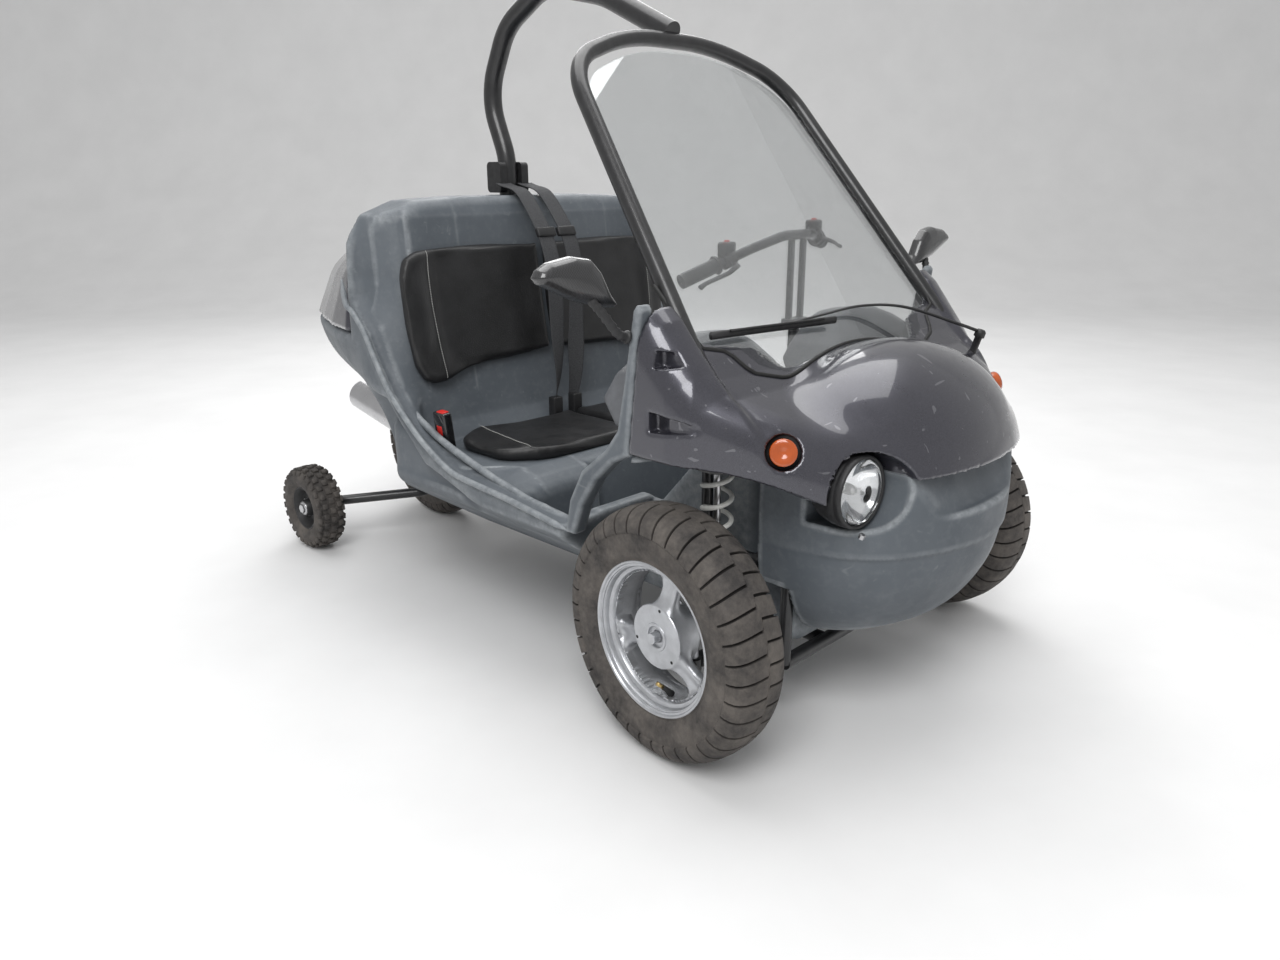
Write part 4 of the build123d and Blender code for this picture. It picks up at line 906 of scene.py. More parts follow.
def spokes(x, y, z):
    """Hub and three spokes that widen into the rim; x is outward along the axle, z up and y to the front."""
    r = np.sqrt(y * y + z * z)
    value = np.maximum(r - 0.058, np.abs(x - 0.006) - 0.026)
    for angle in SPOKE_ANGLES:
        along, aside = y * sin(angle) + z * cos(angle), y * cos(angle) - z * sin(angle)
        width = 0.019 + 0.35 * np.maximum(along - 0.095, 0) + 0.25 * np.maximum(0.075 - along, 0)
        middle = 0.018 - 0.16 * np.maximum(along - 0.055, 0)
        arm = blend_max(np.abs(aside) - width, np.abs(x - middle) - 0.013, 0.012)
        # Each spoke is dished along its middle
        arm = arm + (0.006 * np.exp(-(aside / 0.012)**2) * step(x - middle, -0.005, 0.012)
                     * step(along, 0.06, 0.085))
        value = blend_min(value, np.maximum(np.maximum(arm, -along + 0.03), r - SPOKE_END), 0.016)
    ring = np.maximum(np.abs(r - SPOKE_END) - 0.0025, np.abs(x) - 0.030)
    value = np.maximum(blend_min(value, ring, 0.014), r - SPOKE_END - 0.0003)
    return np.maximum(value, 0.0105 - r)


def rim(name, narrow):
    """A cast wheel round the X axis with its hub plate, bearing boss, nut and tyre valve."""
    barrel = sharpen(lathe("barrel", [(a * narrow, r) for a, r in RIM_SECTION], 96), 40)
    star = new_object("star", *surface_net(spokes, (-0.036, -0.128, -0.128), (0.038, 0.128, 0.128), 0.0035))
    plate = sharpen(lathe("plate", HUB_PLATE, 64), 30)
    # Each screw hole is a thin near-black disc on the hub plate: painted shade standing in for the hole
    holes = [lathe("screw_hole", [(0.0003, 0.0032), (0.0004, 0.0028), (0.0004, 0)], 16,
                   (0.0354, 0.0545 * sin(angle), 0.0545 * cos(angle))) for angle in SPOKE_ANGLES]
    # The bearing ring is near-black as painted shade in the hub's bore
    bearing = lathe("bearing", [(0.0255, 0.0196), (0.0268, 0.018), (0.0262, 0.013)], 32)
    nut = hexagon("nut", [(0.024, 0.0125), (0.0275, 0.0125), (0.0285, 0.0115), (0.0285, 0)])
    stud = lathe("stud", [(0.028, 0.0062), (0.0338, 0.006), (0.0346, 0.005), (0.0346, 0)], 20)
    washer = lathe("washer", [(0.0238, 0.0165), (0.025, 0.0165), (0.0252, 0.011)], 32)
    valve = [Vector((x, r * sin(VALVE_ANGLE), r * cos(VALVE_ANGLE))) for x, r in VALVE]
    stem = sweep("valve_stem", valve[:3], [0.0075, 0.0052, 0.0048], 16)
    cap = sweep("valve_cap", valve[2:], 0.004, 16)
    coat("cast_alloy", barrel, star, plate)
    coat("painted_hollow_shade", *holes, bearing)
    coat("bright_steel", nut, stud, washer)
    coat("rubber", stem)
    coat("brass", cap)
    return join(name, [barrel, star, plate, *holes, bearing, nut, stud, washer, stem, cap])


def place_wheel(piece, node, direction):
    """Puts a wheel's piece on its axle, with its outer side along the direction."""
    low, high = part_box(node)
    outward, up = Vector(direction).normalized(), Vector((0, 0, 1))
    front = up.cross(outward) if outward.x < 0 else outward.cross(up)
    turn = Matrix((outward, front, up)).transposed()
    if turn.determinant() < 0:
        piece.data.flip_normals()
    piece.data.transform(turn.to_4x4())
    piece.location = (Vector(low) + Vector(high)) / 2
    return piece


STEERED = radians(4.5)
WHEELS = {
    "front_left": ((cos(STEERED), -sin(STEERED), 0), FRONT_TYRE),
    "front_right": ((-cos(STEERED), sin(STEERED), 0), FRONT_TYRE),
    "rear": ((-1, 0, 0), REAR_TYRE),
}
for label, (direction, size) in WHEELS.items():
    tyre_piece = place_wheel(tyre(f"tyre_{label}_tread", *size), f"tyre_{label}", direction)
    dress(tyre_piece, f"wheel_{label}", "tyre_rubber", stands_for=[f"tyre_{label}"])
    rim_piece = place_wheel(rim(f"rim_{label}_cast", size[0] / FRONT_TYRE[0]), f"rim_{label}", direction)
    dress(rim_piece, f"wheel_{label}", stands_for=[f"rim_{label}"])

# Outrigger wheels, as (along, radius)
CARCASS = [(0.03, 0.062), (0.038, 0.07), (0.0415, 0.082), (0.0405, 0.095), (0.033, 0.106), (0.018, 0.1125)]
CARCASS += [(0, 0.114)] + [(-along, r) for along, r in reversed(CARCASS)]
KNOB_ROWS = 26
KNOBS = [
    # along, half length, top radius, half width, shift in pitches
    (0, 0.0085, 0.1195, 0.0085, 0), (0.0205, 0.0075, 0.1185, 0.0075, 0.5),
    (-0.0205, 0.0075, 0.1185, 0.0075, 0.5), (0.0345, 0.0045, 0.1105, 0.0085, 0),
    (-0.0345, 0.0045, 0.1105, 0.0085, 0),
]
KNOB_HEIGHT = 0.014
SMALL_RIM = [
    (0.0295, 0.0625), (0.0312, 0.0618), (0.0312, 0.059), (0.0285, 0.0575), (0.024, 0.052), (0.012, 0.049),
    (0.006, 0.044), (0.005, 0.028), (0.011, 0.025), (0.028, 0.0235), (0.0315, 0.0215), (0.032, 0.012),
]
WHEEL_NUTS = 5


def small_tyre(name):
    """A knobbly stabiliser tyre round the X axis."""
    pieces = [lathe("carcass", CARCASS, 72)]
    for k in range(KNOB_ROWS):
        for along, spread, high, wide, shift in KNOBS:
            knob = block("knob", (along - spread, -wide, high - KNOB_HEIGHT), (along + spread, wide, high),
                         0.0016, 1)
            knob.data.transform(Matrix.Rotation(-tau * (k + shift) / KNOB_ROWS, 4, "X"))
            pieces.append(knob)
    return join(name, pieces)


def small_rim(name):
    """A pressed disc on each side, with a hub nut, its cap and a ring of wheel nuts."""
    disc, inner = (lathe("disc", SMALL_RIM, 48, direction=(way, 0, 0)) for way in (1, -1))
    nut = hexagon("hub_nut", [(0.03, 0.0135), (0.0385, 0.0135), (0.04, 0.012), (0.04, 0)])
    cap = lathe("hub_cap", [(0.0315, 0.0195), (0.0335, 0.019), (0.034, 0.012)], 32)
    turns = [tau * k / WHEEL_NUTS for k in range(WHEEL_NUTS)]
    wheel_nuts = [hexagon("wheel_nut", [(0, 0.006), (0.006, 0.006), (0.007, 0)],
                          (0.0045, 0.036 * sin(turn), 0.036 * cos(turn))) for turn in turns]
    coat("black_plastic", sharpen(disc, 40), sharpen(inner, 40))
    coat("bright_steel", nut, cap, *wheel_nuts)
    return join(name, [disc, inner, nut, cap, *wheel_nuts])


for label, side in SIDES.items():
    piece = place_wheel(small_tyre(f"outrigger_tyre_{label}_knobs"), f"outrigger_tyre_{label}", (side, 0, 0))
    dress(piece, f"outrigger_wheel_{label}", "tyre_rubber", stands_for=[f"outrigger_tyre_{label}"])
    piece = place_wheel(small_rim(f"outrigger_rim_{label}_disc"), f"outrigger_rim_{label}", (side, 0, 0))
    dress(piece, f"outrigger_wheel_{label}", stands_for=[f"outrigger_rim_{label}"])


# Seats: vinyl cushions blown up as cloth inside their CAD envelopes, then stitched

BACK_OUTLINE = [
    # across, up the back
    (0.007, 0.04), (0.12, 0.034), (0.22, 0.036), (0.285, 0.028), (0.34, 0.006), (0.375, 0.002),
    (0.402, 0.014), (0.42, 0.05), (0.428, 0.15), (0.425, 0.26), (0.412, 0.298), (0.38, 0.314),
    (0.3, 0.32), (0.15, 0.324), (0.007, 0.322),
]
SEAT_OUTLINE = [
    # across, station
    (0.007, 0.532), (0.285, 0.532), (0.325, 0.545), (0.375, 0.585), (0.392, 0.615), (0.393, 0.735),
    (0.375, 0.768), (0.325, 0.8), (0.285, 0.804), (0.007, 0.804),
]
BACK_THICKNESS, SEAT_THICKNESS = 0.05, 0.046
BACK_SEAM = [(0.356, 0.312), (0.362, 0.26), (0.363, 0.18), (0.358, 0.09), (0.35, 0.012)]
SEAT_SEAM = [(0.3, 0.797), (0.312, 0.75), (0.322, 0.68), (0.33, 0.62), (0.334, 0.562)]
BACK_FOOT, BACK_RISE = (0, 0.882, 0.55), (0, 0.048, 0.319)
SEAT_BASE = 0.4165
CLOTH = {
    "quality": 6, "mass": 0.25, "tension_stiffness": 14, "compression_stiffness": 14, "shear_stiffness": 8,
    "bending_stiffness": 0.6, "use_pressure": True, "uniform_pressure_force": 4, "vertex_group_mass": "held",
}
CLOTH_FRAMES = 20
LARGEST_SWELL = 0.01


def puffed(name, outline, thickness, seam, cell):
    """A closed cushion swollen by cloth pressure in a flat pose, held down on its back and along its seam."""
    low = (min(p[0] for p in outline) - 0.01, min(p[1] for p in outline) - 0.01, -0.01)
    high = (max(p[0] for p in outline) + 0.01, max(p[1] for p in outline) + 0.01, thickness + 0.01)
    middle = thickness * 0.78 / 2

    def form(x, y, z):
        return blend_max(polygon(x, y, outline), np.abs(z - middle) - middle, 0.02)

    points, faces = surface_net(form, low, high, cell)
    piece = new_object(name, points, faces)
    held = piece.vertex_groups.new(name="held")
    near = np.sqrt(distance_to_line(points[:, 0], points[:, 1], seam)[0])
    for i, p in enumerate(points):
        if p[2] < 0.004 or (near[i] < cell * 0.75 and p[2] > thickness * 0.5):
            held.add([i], 1.0, "REPLACE")
    cloth = piece.modifiers.new("cloth", "CLOTH")
    for setting, value in CLOTH.items():
        setattr(cloth.settings, setting, value)
    cloth.settings.effector_weights.gravity = 0
    cloth.point_cache.frame_start, cloth.point_cache.frame_end = 1, CLOTH_FRAMES
    scene = bpy.context.scene
    for number in range(1, CLOTH_FRAMES + 1):
        scene.frame_set(number)
    blown = bpy.data.meshes.new_from_object(piece.evaluated_get(bpy.context.evaluated_depsgraph_get()))
    piece.modifiers.clear()
    piece.data = blown
    scene.frame_set(1)
    move = np.array([v.co for v in blown.vertices]) - points
    length = np.sqrt((move**2).sum(axis=1))
    after = points + move * (np.minimum(length, LARGEST_SWELL) / np.maximum(length, 1e-9))[:, None]
    after[:, 2] = np.clip(after[:, 2], 0, thickness + 0.002)
    after[:, 0] = np.maximum(after[:, 0], 0.0015)
    blown.vertices.foreach_set("co", after.astype(np.float32).ravel())
    blown.update()
    blown.shade_smooth()
    even = piece.modifiers.new("even", "SMOOTH")
    even.factor, even.iterations = 0.5, 8
    even.vertex_group, even.invert_vertex_group = "held", True
    more = piece.modifiers.new("smooth", "SUBSURF")
    more.levels = more.render_levels = 1
    return piece


def laid_on(piece, line, lift):
    """Points of a seam line dropped onto the front of a flat-posed cushion."""
    tree = BVHTree.FromObject(piece, bpy.context.evaluated_depsgraph_get())
    spots = [tree.ray_cast(Vector((x, y, 0.2)), Vector((0, 0, -1)))[0] for x, y in line]
    return [spot + Vector((0, 0, lift)) for spot in spots if spot]


def stitched(name, piece, line, place):
    """A row of pale stitches along a seam, with the seam's dark fold under it."""
    spots = laid_on(piece, curve_through(line, 30), 0.0002)
    fold = sweep(f"{name}_fold", [p - Vector((0, 0, 0.0008)) for p in spots], 0.0016, 8)
    stitches = []
    for a, b in zip(spots[:-2:2], spots[1:-1:2]):
        if (b - a).length < 0.02:
            stitches.append(sweep(f"{name}_stitch", [p + Vector((0, 0, 0.0007)) for p in (a, b)], 0.0008, 6))
    coat("black_vinyl", fold)
    coat("thread", *stitches)
    whole = join(name, [fold, *stitches])
    whole.data.transform(place)
    return whole


cushion_cell = 0.007
rise = Vector(BACK_RISE).normalized()
back_out = Vector((0, -rise.z, rise.y))
back_model = puffed("back_model", BACK_OUTLINE, BACK_THICKNESS, BACK_SEAM, cushion_cell)
seat_model = puffed("seat_model", SEAT_OUTLINE, SEAT_THICKNESS, SEAT_SEAM, cushion_cell)
for label, side in SIDES.items():
    back_turn = Matrix((Vector((side, 0, 0)), rise, back_out)).transposed().to_4x4()
    back_place = Matrix.Translation(beside(BACK_FOOT, side)) @ back_turn
    seat_place = Matrix.Translation((0, AXLE_Y, SEAT_BASE)) @ Matrix.Diagonal((side, 1, 1, 1))
    for node, model, place, seam in (("backrest", back_model, back_place, BACK_SEAM),
                                     ("seat_cushion", seat_model, seat_place, SEAT_SEAM)):
        stitches = stitched(f"{node}_{label}_seam", model, seam, place)
        piece = model.copy()
        piece.data = model.data.copy()
        piece.name = piece.data.name = f"{node}_{label}_vinyl"
        bpy.context.scene.collection.objects.link(piece)
        piece.data.transform(place)
        if place.determinant() < 0:
            piece.data.flip_normals()
        dress(piece, "body", "black_vinyl", stands_for=[f"{node}_{label}"])
        dress(stitches, "body")
for model in (back_model, seat_model):
    bpy.data.objects.remove(model)


# Seal of the windscreen, lamps, mirrors, wiper, dash pods

HEADLIGHT_BOWL = [
    (-0.003, 0.0582), (0.003, 0.059), (0.0052, 0.0612), (0.0046, 0.064), (0, 0.0655), (-0.006, 0.066),
    (-0.008, 0.065), (-0.01, 0.0662), (-0.032, 0.0655), (-0.055, 0.059), (-0.078, 0.044), (-0.091, 0.024),
    (-0.094, 0),
]
HEADLIGHT_DISH = [
    (-0.003, 0.0582), (-0.014, 0.052), (-0.027, 0.041), (-0.037, 0.026), (-0.041, 0.012), (-0.0415, 0),
]
HEADLIGHT_BULB = [(-0.04, 0.011), (-0.024, 0.01), (-0.015, 0.008), (-0.011, 0.004), (-0.0105, 0)]
HEADLIGHT_LENS = [
    (-0.001, 0.0585), (0.0022, 0.0575), (0.0058, 0.05), (0.0088, 0.037), (0.0104, 0.02), (0.0108, 0),
    (0.0085, 0), (0.008, 0.02), (0.0064, 0.0365), (0.0034, 0.049), (-0.0008, 0.056), (-0.001, 0.0585),
]
LAMP_BOLT_PLACE = (0.285, -0.262, 0.4425)
# The indicator's lens is stepped in rings
INDICATOR_LENS = [(-0.03, 0.0235), (-0.006, 0.0235)]
for angle in range(12, 90, 13):
    reach = 0.0225 * cos(radians(angle))
    INDICATOR_LENS += [(-0.004 + 0.0072 * sin(radians(angle)), reach),
                       (-0.0047 + 0.0072 * sin(radians(angle + 5)), reach - 0.0006)]
INDICATOR_LENS.append((0.003, 0))


def screen_edge():
    """Points where the cowl meets the windscreen's surface, from side to side."""
    found = []
    for x in np.linspace(-0.424, 0.424, 61):
        low, high = 0.60, 0.85
        for _ in range(24):
            z = (low + high) / 2
            y = screen_station(x, z) - 0.004
            level = float(cowl_outside(np.array([x]), np.array([y]), np.array([z]))[0])
            low, high = (z, high) if level < 0 else (low, z)
        found.append((x, y, z))
    return found


seal = sweep("screen_seal", [beside(p) for p in screen_edge()], 0.0042, 10)
dress(seal, "body", extra="seal")

for label, side in SIDES.items():
    face, out = beside(LAMP_PLACE, side), Vector((side * 0.07, -1, 0)).normalized()
    bowl = lathe("bowl", HEADLIGHT_BOWL, 72, face, out)
    dish = lathe("dish", HEADLIGHT_DISH, 72, face, out)
    bulb = lathe("bulb", HEADLIGHT_BULB, 32, face, out)
    coat("black_plastic", bowl)
    coat("reflector", dish)
    coat("bulb", bulb)
    bowls = join(f"headlight_bowl_{label}", [bowl, dish, bulb])
    dress(bowls, "body", stands_for=["headlight_bowls"])
    lens = lathe(f"headlight_lens_{label}", HEADLIGHT_LENS, 72, face, out)
    dress(lens, "body", "lamp_lens", stands_for=["headlight_lenses"])
    # Turn indicator, sunk in its round pocket
    spot, aim = beside(INDICATOR_PLACE, side), Vector((side * INDICATOR_AXIS[0], *INDICATOR_AXIS[1:]))
    lamp = lathe(f"indicator_{label}", INDICATOR_LENS, 48, spot - aim * 0.002, aim)
    dress(lamp, "body", "amber_lens", stands_for=["indicators"])
    # The pocket's floor behind the lens is near-black: painted shade in the pocket
    base = [(-0.0295, 0), (-0.029, 0.0302), (-0.027, 0.0302), (-0.0265, 0.024)]
    dress(lathe(f"indicator_base_{label}", base, 48, spot, aim), "body", extra="painted_hollow_shade")
    # Headlight bracket bolt under the bowl
    bolt = hexagon(f"lamp_bolt_{label}", [(-0.004, 0.006), (0.003, 0.006), (0.0042, 0.005), (0.0042, 0)],
                   beside(LAMP_BOLT_PLACE, side), (0, -0.4, 1))
    dress(bolt, "body", "bright_steel")

MIRROR_OUTLINE = [
    # outward, up, seen from the front
    (0.088, 0.016), (0.08, 0.028), (0.058, 0.039), (0.01, 0.046), (-0.028, 0.04), (-0.05, 0.018),
    (-0.07, -0.018), (-0.088, -0.04), (-0.08, -0.045), (-0.045, -0.041), (0.006, -0.026), (0.052, -0.006),
    (0.08, 0.006),
]
MIRROR_PLACE = (0.577, 0.1225, 0.861)
MIRROR_WALL = 0.005
MIRROR_STEM = [(0.5005, 0.084, 0.77), (0.52, 0.088, 0.778), (0.54, 0.104, 0.812), (0.556, 0.119, 0.838)]


def mirror_head(x, y, z):
    """A rounded teardrop housing, domed to the front and hollow behind; x is outward and y to the rear."""
    outline = polygon(x, z, MIRROR_OUTLINE)
    dome = -y - 0.0175 + 0.10 * np.clip(0.03 + outline, 0, 1)
    whole = blend_max(blend_max(outline, dome, 0.022), y - 0.0165, 0.006)
    return np.maximum(whole, -np.maximum(outline + MIRROR_WALL, 0.0125 - y))


for label, side in SIDES.items():
    head = new_object(f"mirror_head_{label}", *surface_net(mirror_head, (-0.098, -0.026, -0.056),
                                                           (0.098, 0.024, 0.056), 0.0032))
    on_side(head, side).location = beside(MIRROR_PLACE, side)
    dress(head, "body", "mirror_shell", stands_for=[f"mirror_{label}"])
    flat = [(side * x * 0.93, 0.0135, z * 0.9) for x, z in MIRROR_OUTLINE]
    glass = new_object(f"mirror_glass_{label}", flat, [tuple(range(len(flat)))])
    if side > 0:
        glass.data.flip_normals()
    glass.location = head.location
    dress(glass, "body", extra="mirror_glass")
    line = [beside(p, side) for p in curve_through(MIRROR_STEM, 8)]
    sizes = [0.0115, 0.012, 0.0105, 0.0075] + [0.0068 + 0.0022 * sin(i * 1.9)**2 for i in range(4, len(line))]
    dress(sweep(f"mirror_stem_{label}", line, sizes, 20), "body", "black_plastic")

WIPER_ARM = [
    (0.395, -0.11, 0.7), (0.33, -0.09, 0.722), (0.2, -0.04, 0.764), (0.082, -0.01, 0.776),
    (-0.06, -0.008, 0.772), (-0.2, -0.006, 0.764),
]
arm_line = [beside(p) for p in curve_through(WIPER_ARM, 8)]
arm = sweep("wiper_arm", arm_line, [0.0062 - 0.003 * i / len(arm_line) for i in range(len(arm_line))], 12,
            squash=0.6)
cap = lathe("wiper_cap", [(0, 0.008), (0.036, 0.008), (0.038, 0.012), (0.05, 0.0115), (0.054, 0.008),
                          (0.055, 0)], 24, beside((0.395, -0.104, 0.65)), (0.1, -0.25, 0.95))
blade_line = [beside((-0.374 + 0.344 * t, 0.008 - 0.026 * t, 0.766 - 0.006 * t))
              for t in np.linspace(0, 1, 9)]
blade = sweep("wiper_blade", blade_line, 0.0045, 8, squash=1.6)
spine = sweep("wiper_spine", [p + Vector((0, -0.006, 0.006)) for p in blade_line[1:-1]], 0.0026, 8)
dress(join("wiper_whole", [arm, cap, blade, spine]), "body", "black_plastic", stands_for=["wiper"])

POD_SIDE = [(0.02, 0.59), (0.16, 0.59), (0.2, 0.64), (0.175, 0.74), (0.11, 0.757), (0.06, 0.69)]
POD_FRONT = [
    # across, height
    (0.07, 0.585), (0.47, 0.585), (0.466, 0.64), (0.44, 0.69), (0.39, 0.722), (0.33, 0.742), (0.25, 0.757),
    (0.19, 0.75), (0.14, 0.725), (0.1, 0.68), (0.078, 0.63),
]


def pod(x, y, z):
    """A dash pod with a rounded top and a hooded rear face, cut out round the steering column."""
    column = np.sqrt((x - 0.2)**2 + (y - 0.243)**2) - 0.024
    return np.maximum(blend_max(polygon(y, z, POD_SIDE), polygon(x, z, POD_FRONT), 0.03), -column)


pod_cell = 0.006
for label, side in SIDES.items():
    piece = on_side(shell(f"dash_pod_{label}", pod, (0.06, 0.01, 0.575), (0.48, 0.215, 0.77), pod_cell), side)
    dress(piece, "body", "dash_plastic", stands_for=["dash_pods"])


# Belts, buckles and handlebar fittings

BELT_RUN = [
    # station, height
    (1.006, 1.01), (0.985, 1.004), (0.93, 0.99), (0.88, 0.94), (0.842, 0.888), (0.822, 0.84), (0.812, 0.78),
    (0.812, 0.65), (0.814, 0.54), (0.826, 0.474),
]
WEBBING_WIDTH, WEBBING_THICKNESS, WEBBING_STEPS = 0.047, 0.0018, 13
TONGUE_WIDTH = 0.026
BELT_ASIDE = 0.0335
BUCKLE_PLACE = (0.422, 0.76, 0.4155)


def ribbon(name, line, widths, across, turn):
    """Flat webbing along a line, with the ribs of its weave; turn twists its lower end."""
    count, steps = len(line), WEBBING_STEPS
    points, faces = [], []
    for i, p in enumerate(line):
        along = (line[min(i + 1, count - 1)] - line[max(i - 1, 0)]).normalized()
        side_way = (across - along * across.dot(along)).normalized()
        share = max(0, i / (count - 1) - 0.75) / 0.25
        side_way = Matrix.Rotation(turn * share, 3, along) @ side_way
        face_way = along.cross(side_way)
        for face in (1, -1):
            for k in range(steps):
                s = k / (steps - 1) - 0.5
                lift = face * (WEBBING_THICKNESS / 2 + 0.00035 * cos(s * tau * 6))
                points.append(p + side_way * s * widths[i] + face_way * lift)
    for i in range(count - 1):
        a, b = i * 2 * steps, (i + 1) * 2 * steps
        for k in range(steps - 1):
            faces.append((a + k, a + k + 1, b + k + 1, b + k))
            faces.append((a + k + steps, b + k + steps, b + k + steps + 1, a + k + steps + 1))
        faces.append((a, b, b + steps, a + steps))
        a, b = a + steps - 1, b + steps - 1
        faces.append((a, a + steps, b + steps, b))
    return new_object(name, points, faces)


for label, side in SIDES.items():
    line = [beside((BELT_ASIDE + 0.004 * sin(z * 9), y, z), side) for y, z in curve_through(BELT_RUN, 6)]
    widths = [WEBBING_WIDTH if p.z > 0.60 else
              TONGUE_WIDTH + (WEBBING_WIDTH - TONGUE_WIDTH) * max(0, (p.z - 0.474) / 0.126) for p in line]
    belt = ribbon(f"belt_{label}", line, widths, Vector((1, 0, 0)), side * 0.9)
    dress(belt, "body", "webbing", stands_for=["seat_belts"])
    slider = block(f"belt_slider_{label}", (-0.029, -0.009, -0.012), (0.029, 0.0045, 0.012), 0.004)
    slider.data.transform(Matrix.Translation(beside((BELT_ASIDE, 0.846, 0.893), side)) @
                          Matrix.Rotation(-0.45, 4, "X"))
    tongue = block(f"belt_anchor_{label}", (side * 0.034 - 0.015, 0.812 + AXLE_Y, 0.417),
                   (side * 0.034 + 0.015, 0.838 + AXLE_Y, 0.476), 0.004)
    dress(join(f"belt_fittings_{label}", [slider, tongue]), "body", "black_plastic")
    body = block("buckle", (-0.012, -0.0225, 0), (0.012, 0.0225, 0.1), 0.005)
    button = block("button", (-0.0085, -0.017, 0.094), (0.0085, 0.01, 0.1025), 0.002)
    patch = block("patch", (-0.0124, -0.01, 0.046), (0.0124, 0.012, 0.07), 0.002)
    coat("black_gloss", body)
    coat("red_plastic", button, patch)
    buckle = join(f"buckle_{label}", [body, button, patch])
    buckle.data.transform(Matrix.Translation(beside(BUCKLE_PLACE, side))
                          @ Matrix.Rotation(side * 0.1, 4, "Y"))
    dress(buckle, "body", stands_for=["belt_buckles"])

GRIPS = {
    # end of the handlebar, and the start of its bend
    "right": ((-0.09, 0.335, 0.812), (0.08, 0.28, 0.875)),
    "left": ((0.43, 0.335, 0.87), (0.32, 0.28, 0.89)),
}
GRIP_RINGS = 45
LEVER = [
    # ahead of the clamp, out towards the bar's end, radius
    (0.012, 0, 0.007), (0.04, 0.012, 0.007), (0.052, 0.045, 0.0055), (0.05, 0.105, 0.005),
    (0.056, 0.125, 0.0065),
]
for label, (end, bend) in GRIPS.items():
    tip, root = beside(end), beside(bend)
    inward = (root - tip).normalized()
    grip = sweep(f"grip_{label}", [tip + inward * (0.004 + i * 0.002) for i in range(GRIP_RINGS)],
                 [0.0164 if i % 3 else 0.0155 for i in range(GRIP_RINGS)], 24)
    dress(grip, "steering", "rubber")
    hold = tip + inward * 0.125
    clamp = lathe("clamp", [(0, 0.011), (0, 0.018), (0.028, 0.018), (0.028, 0.011)], 28,
                  hold - inward * 0.014, inward)
    ahead = Vector((0, -1, -0.15)).normalized()
    lever = sweep("lever", [hold + ahead * out - inward * back for out, back, _ in LEVER],
                  [r for *_, r in LEVER], 12, squash=0.7)
    switch = block("switch", (-0.017, -0.014, -0.012), (0.017, 0.014, 0.022), 0.005)
    switch.data.transform(Matrix.Translation(hold + Vector((0, 0.004, 0.016))))
    dress(join(f"controls_{label}", [clamp, lever, switch]), "steering", "black_plastic")
    button = lathe(f"switch_button_{label}", [(0, 0.0065), (0.004, 0.006), (0.005, 0.0045), (0.005, 0)], 20,
                   hold + Vector((0, 0.004, 0.037)), (0, 0, 1))
    dress(button, "steering", extra="red_plastic")


# CAD nodes that show as they are

SHOWN = {
    "black_steel": ["windscreen_frame", "roll_bar", "steering_column", "handlebar", "chassis_frame",
                    "swing_arm", "outrigger_arms", "lower_arms", "upper_arms"],
    "clear_glass": ["windscreen"],
    "black_plastic": ["belt_top_covers"],
    "engine_alloy": ["engine_block"],
    "bright_steel": ["exhaust_silencer", "dampers"],
    "red_lens": ["tail_lamps"],
    "white_spring": ["coil_springs"],
    "cast_alloy": ["knuckle_left", "knuckle_right"],
}
for finish, nodes in SHOWN.items():
    for node in nodes:
        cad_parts[node].data.materials.clear()
        coat(finish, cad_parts[node])


# Floor, light and camera

FLOOR_WIDTH, WALL_PLACE, WALL_HEIGHT, COVE_RADIUS = 28, 7.5, 9, 2.5
LIGHTS = [
    # name, place, target, size, watts
    ("key_light", (-3.2, -2.4, 4.2), (0, 0, 0.4), (2.6, 2.6), 150),
    ("top_light", (0.6, 0.6, 4.6), (0, 0, 0.3), (4.5, 3.5), 130),
    ("back_light", (2.8, 3.2, 3.4), (0, 0.2, 0.6), (3.0, 2.0), 70),
]
ROOM_STRENGTH = 0.55


def stage_finish():
    """Pale studio floor and wall, very slightly mottled."""
    made = Finish("studio", specular=0.2)
    made.colour(made.mix(made.wander(3, 4), (0.76, 0.76, 0.76), (0.80, 0.80, 0.80)))
    made.roughness(0.75)
    return made.material


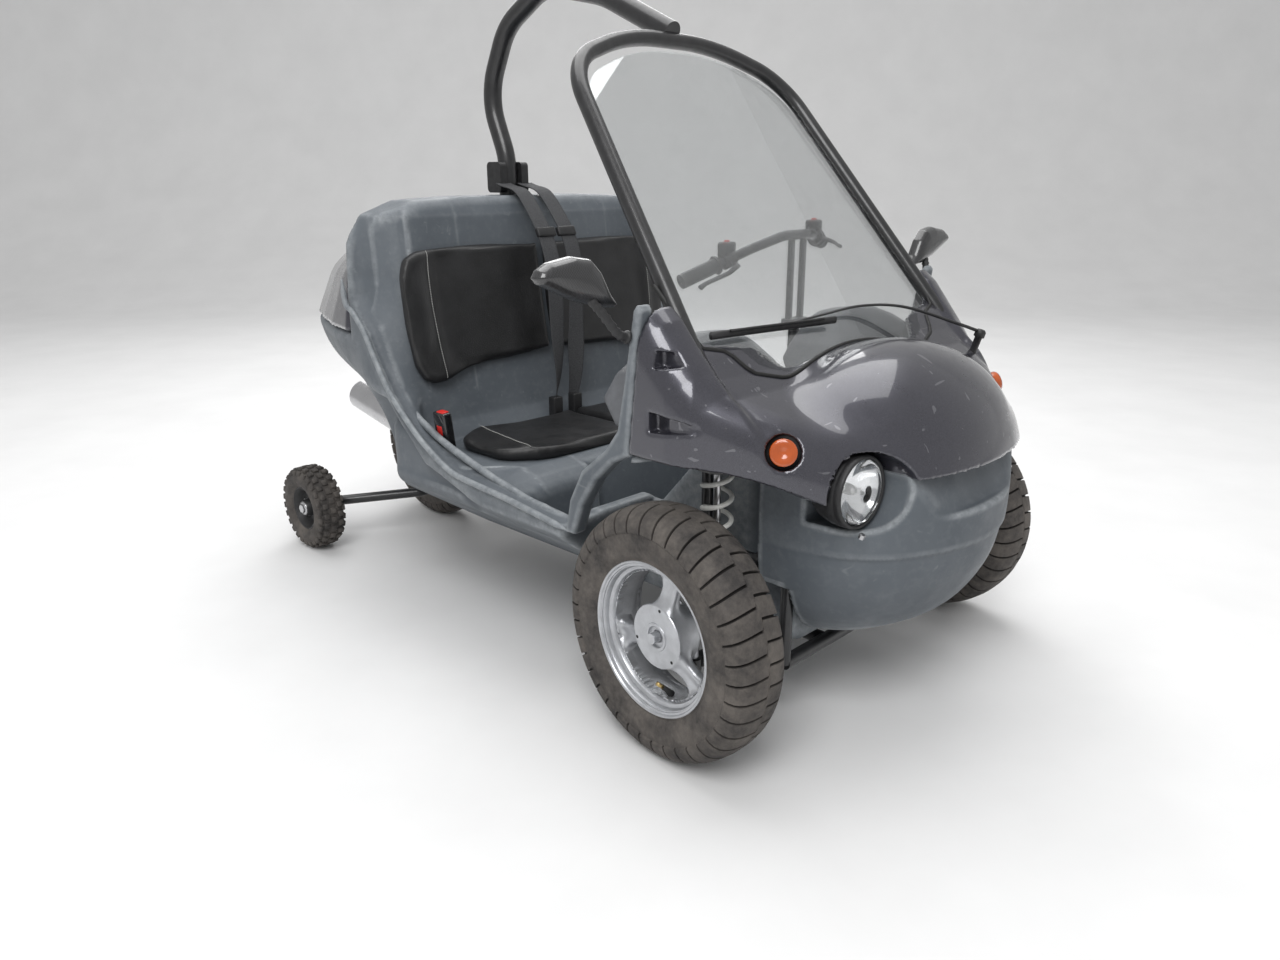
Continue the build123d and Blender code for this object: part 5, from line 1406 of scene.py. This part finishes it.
cove_start = WALL_PLACE - COVE_RADIUS
profile = [(-9, 0), (cove_start, 0)]
profile += [(cove_start + COVE_RADIUS * sin(t), COVE_RADIUS - COVE_RADIUS * cos(t))
            for t in np.linspace(0, pi / 2, 25)[1:]]
profile.append((WALL_PLACE, WALL_HEIGHT))
floor_points = [(across, away, height) for away, height in profile
                for across in (-FLOOR_WIDTH / 2, FLOOR_WIDTH / 2)]
floor_faces = [(2 * i, 2 * i + 1, 2 * i + 3, 2 * i + 2) for i in range(len(profile) - 1)]
backdrop = new_object("backdrop", floor_points, floor_faces)
backdrop.rotation_euler = (0, 0, -CAMERA_HEADING)
backdrop.data.materials.append(stage_finish())

for name, place, target, size, watts in LIGHTS:
    light = bpy.data.lights.new(name, "AREA")
    light.shape = "RECTANGLE"
    light.size, light.size_y = size
    light.energy = watts
    lamp = bpy.data.objects.new(name, light)
    lamp.location = place
    lamp.rotation_euler = (Vector(target) - Vector(place)).to_track_quat("-Z", "Y").to_euler()
    bpy.context.scene.collection.objects.link(lamp)
world = bpy.data.worlds.new("room")
world.use_nodes = True
world.node_tree.nodes["Background"].inputs["Color"].default_value = (1, 1, 1, 1)
world.node_tree.nodes["Background"].inputs["Strength"].default_value = ROOM_STRENGTH
bpy.context.scene.world = world

camera_data = bpy.data.cameras.new("camera")
camera_data.sensor_width = 36
camera_data.lens = FOCAL_PIXELS / PHOTO_WIDTH * camera_data.sensor_width
camera = bpy.data.objects.new("camera", camera_data)
ahead = Vector((sin(CAMERA_HEADING), cos(CAMERA_HEADING), 0))
forward = ahead * cos(CAMERA_PITCH) - Vector((0, 0, sin(CAMERA_PITCH)))
level = Vector((cos(CAMERA_HEADING), -sin(CAMERA_HEADING), 0))
right = level * cos(CAMERA_ROLL) + level.cross(forward) * sin(CAMERA_ROLL)
camera.matrix_world = Matrix((right, right.cross(forward), -forward)).transposed().to_4x4()
camera.location = beside(CAMERA_PLACE)
bpy.context.scene.collection.objects.link(camera)
bpy.context.scene.camera = camera
bpy.context.scene.view_settings.view_transform = "Standard"
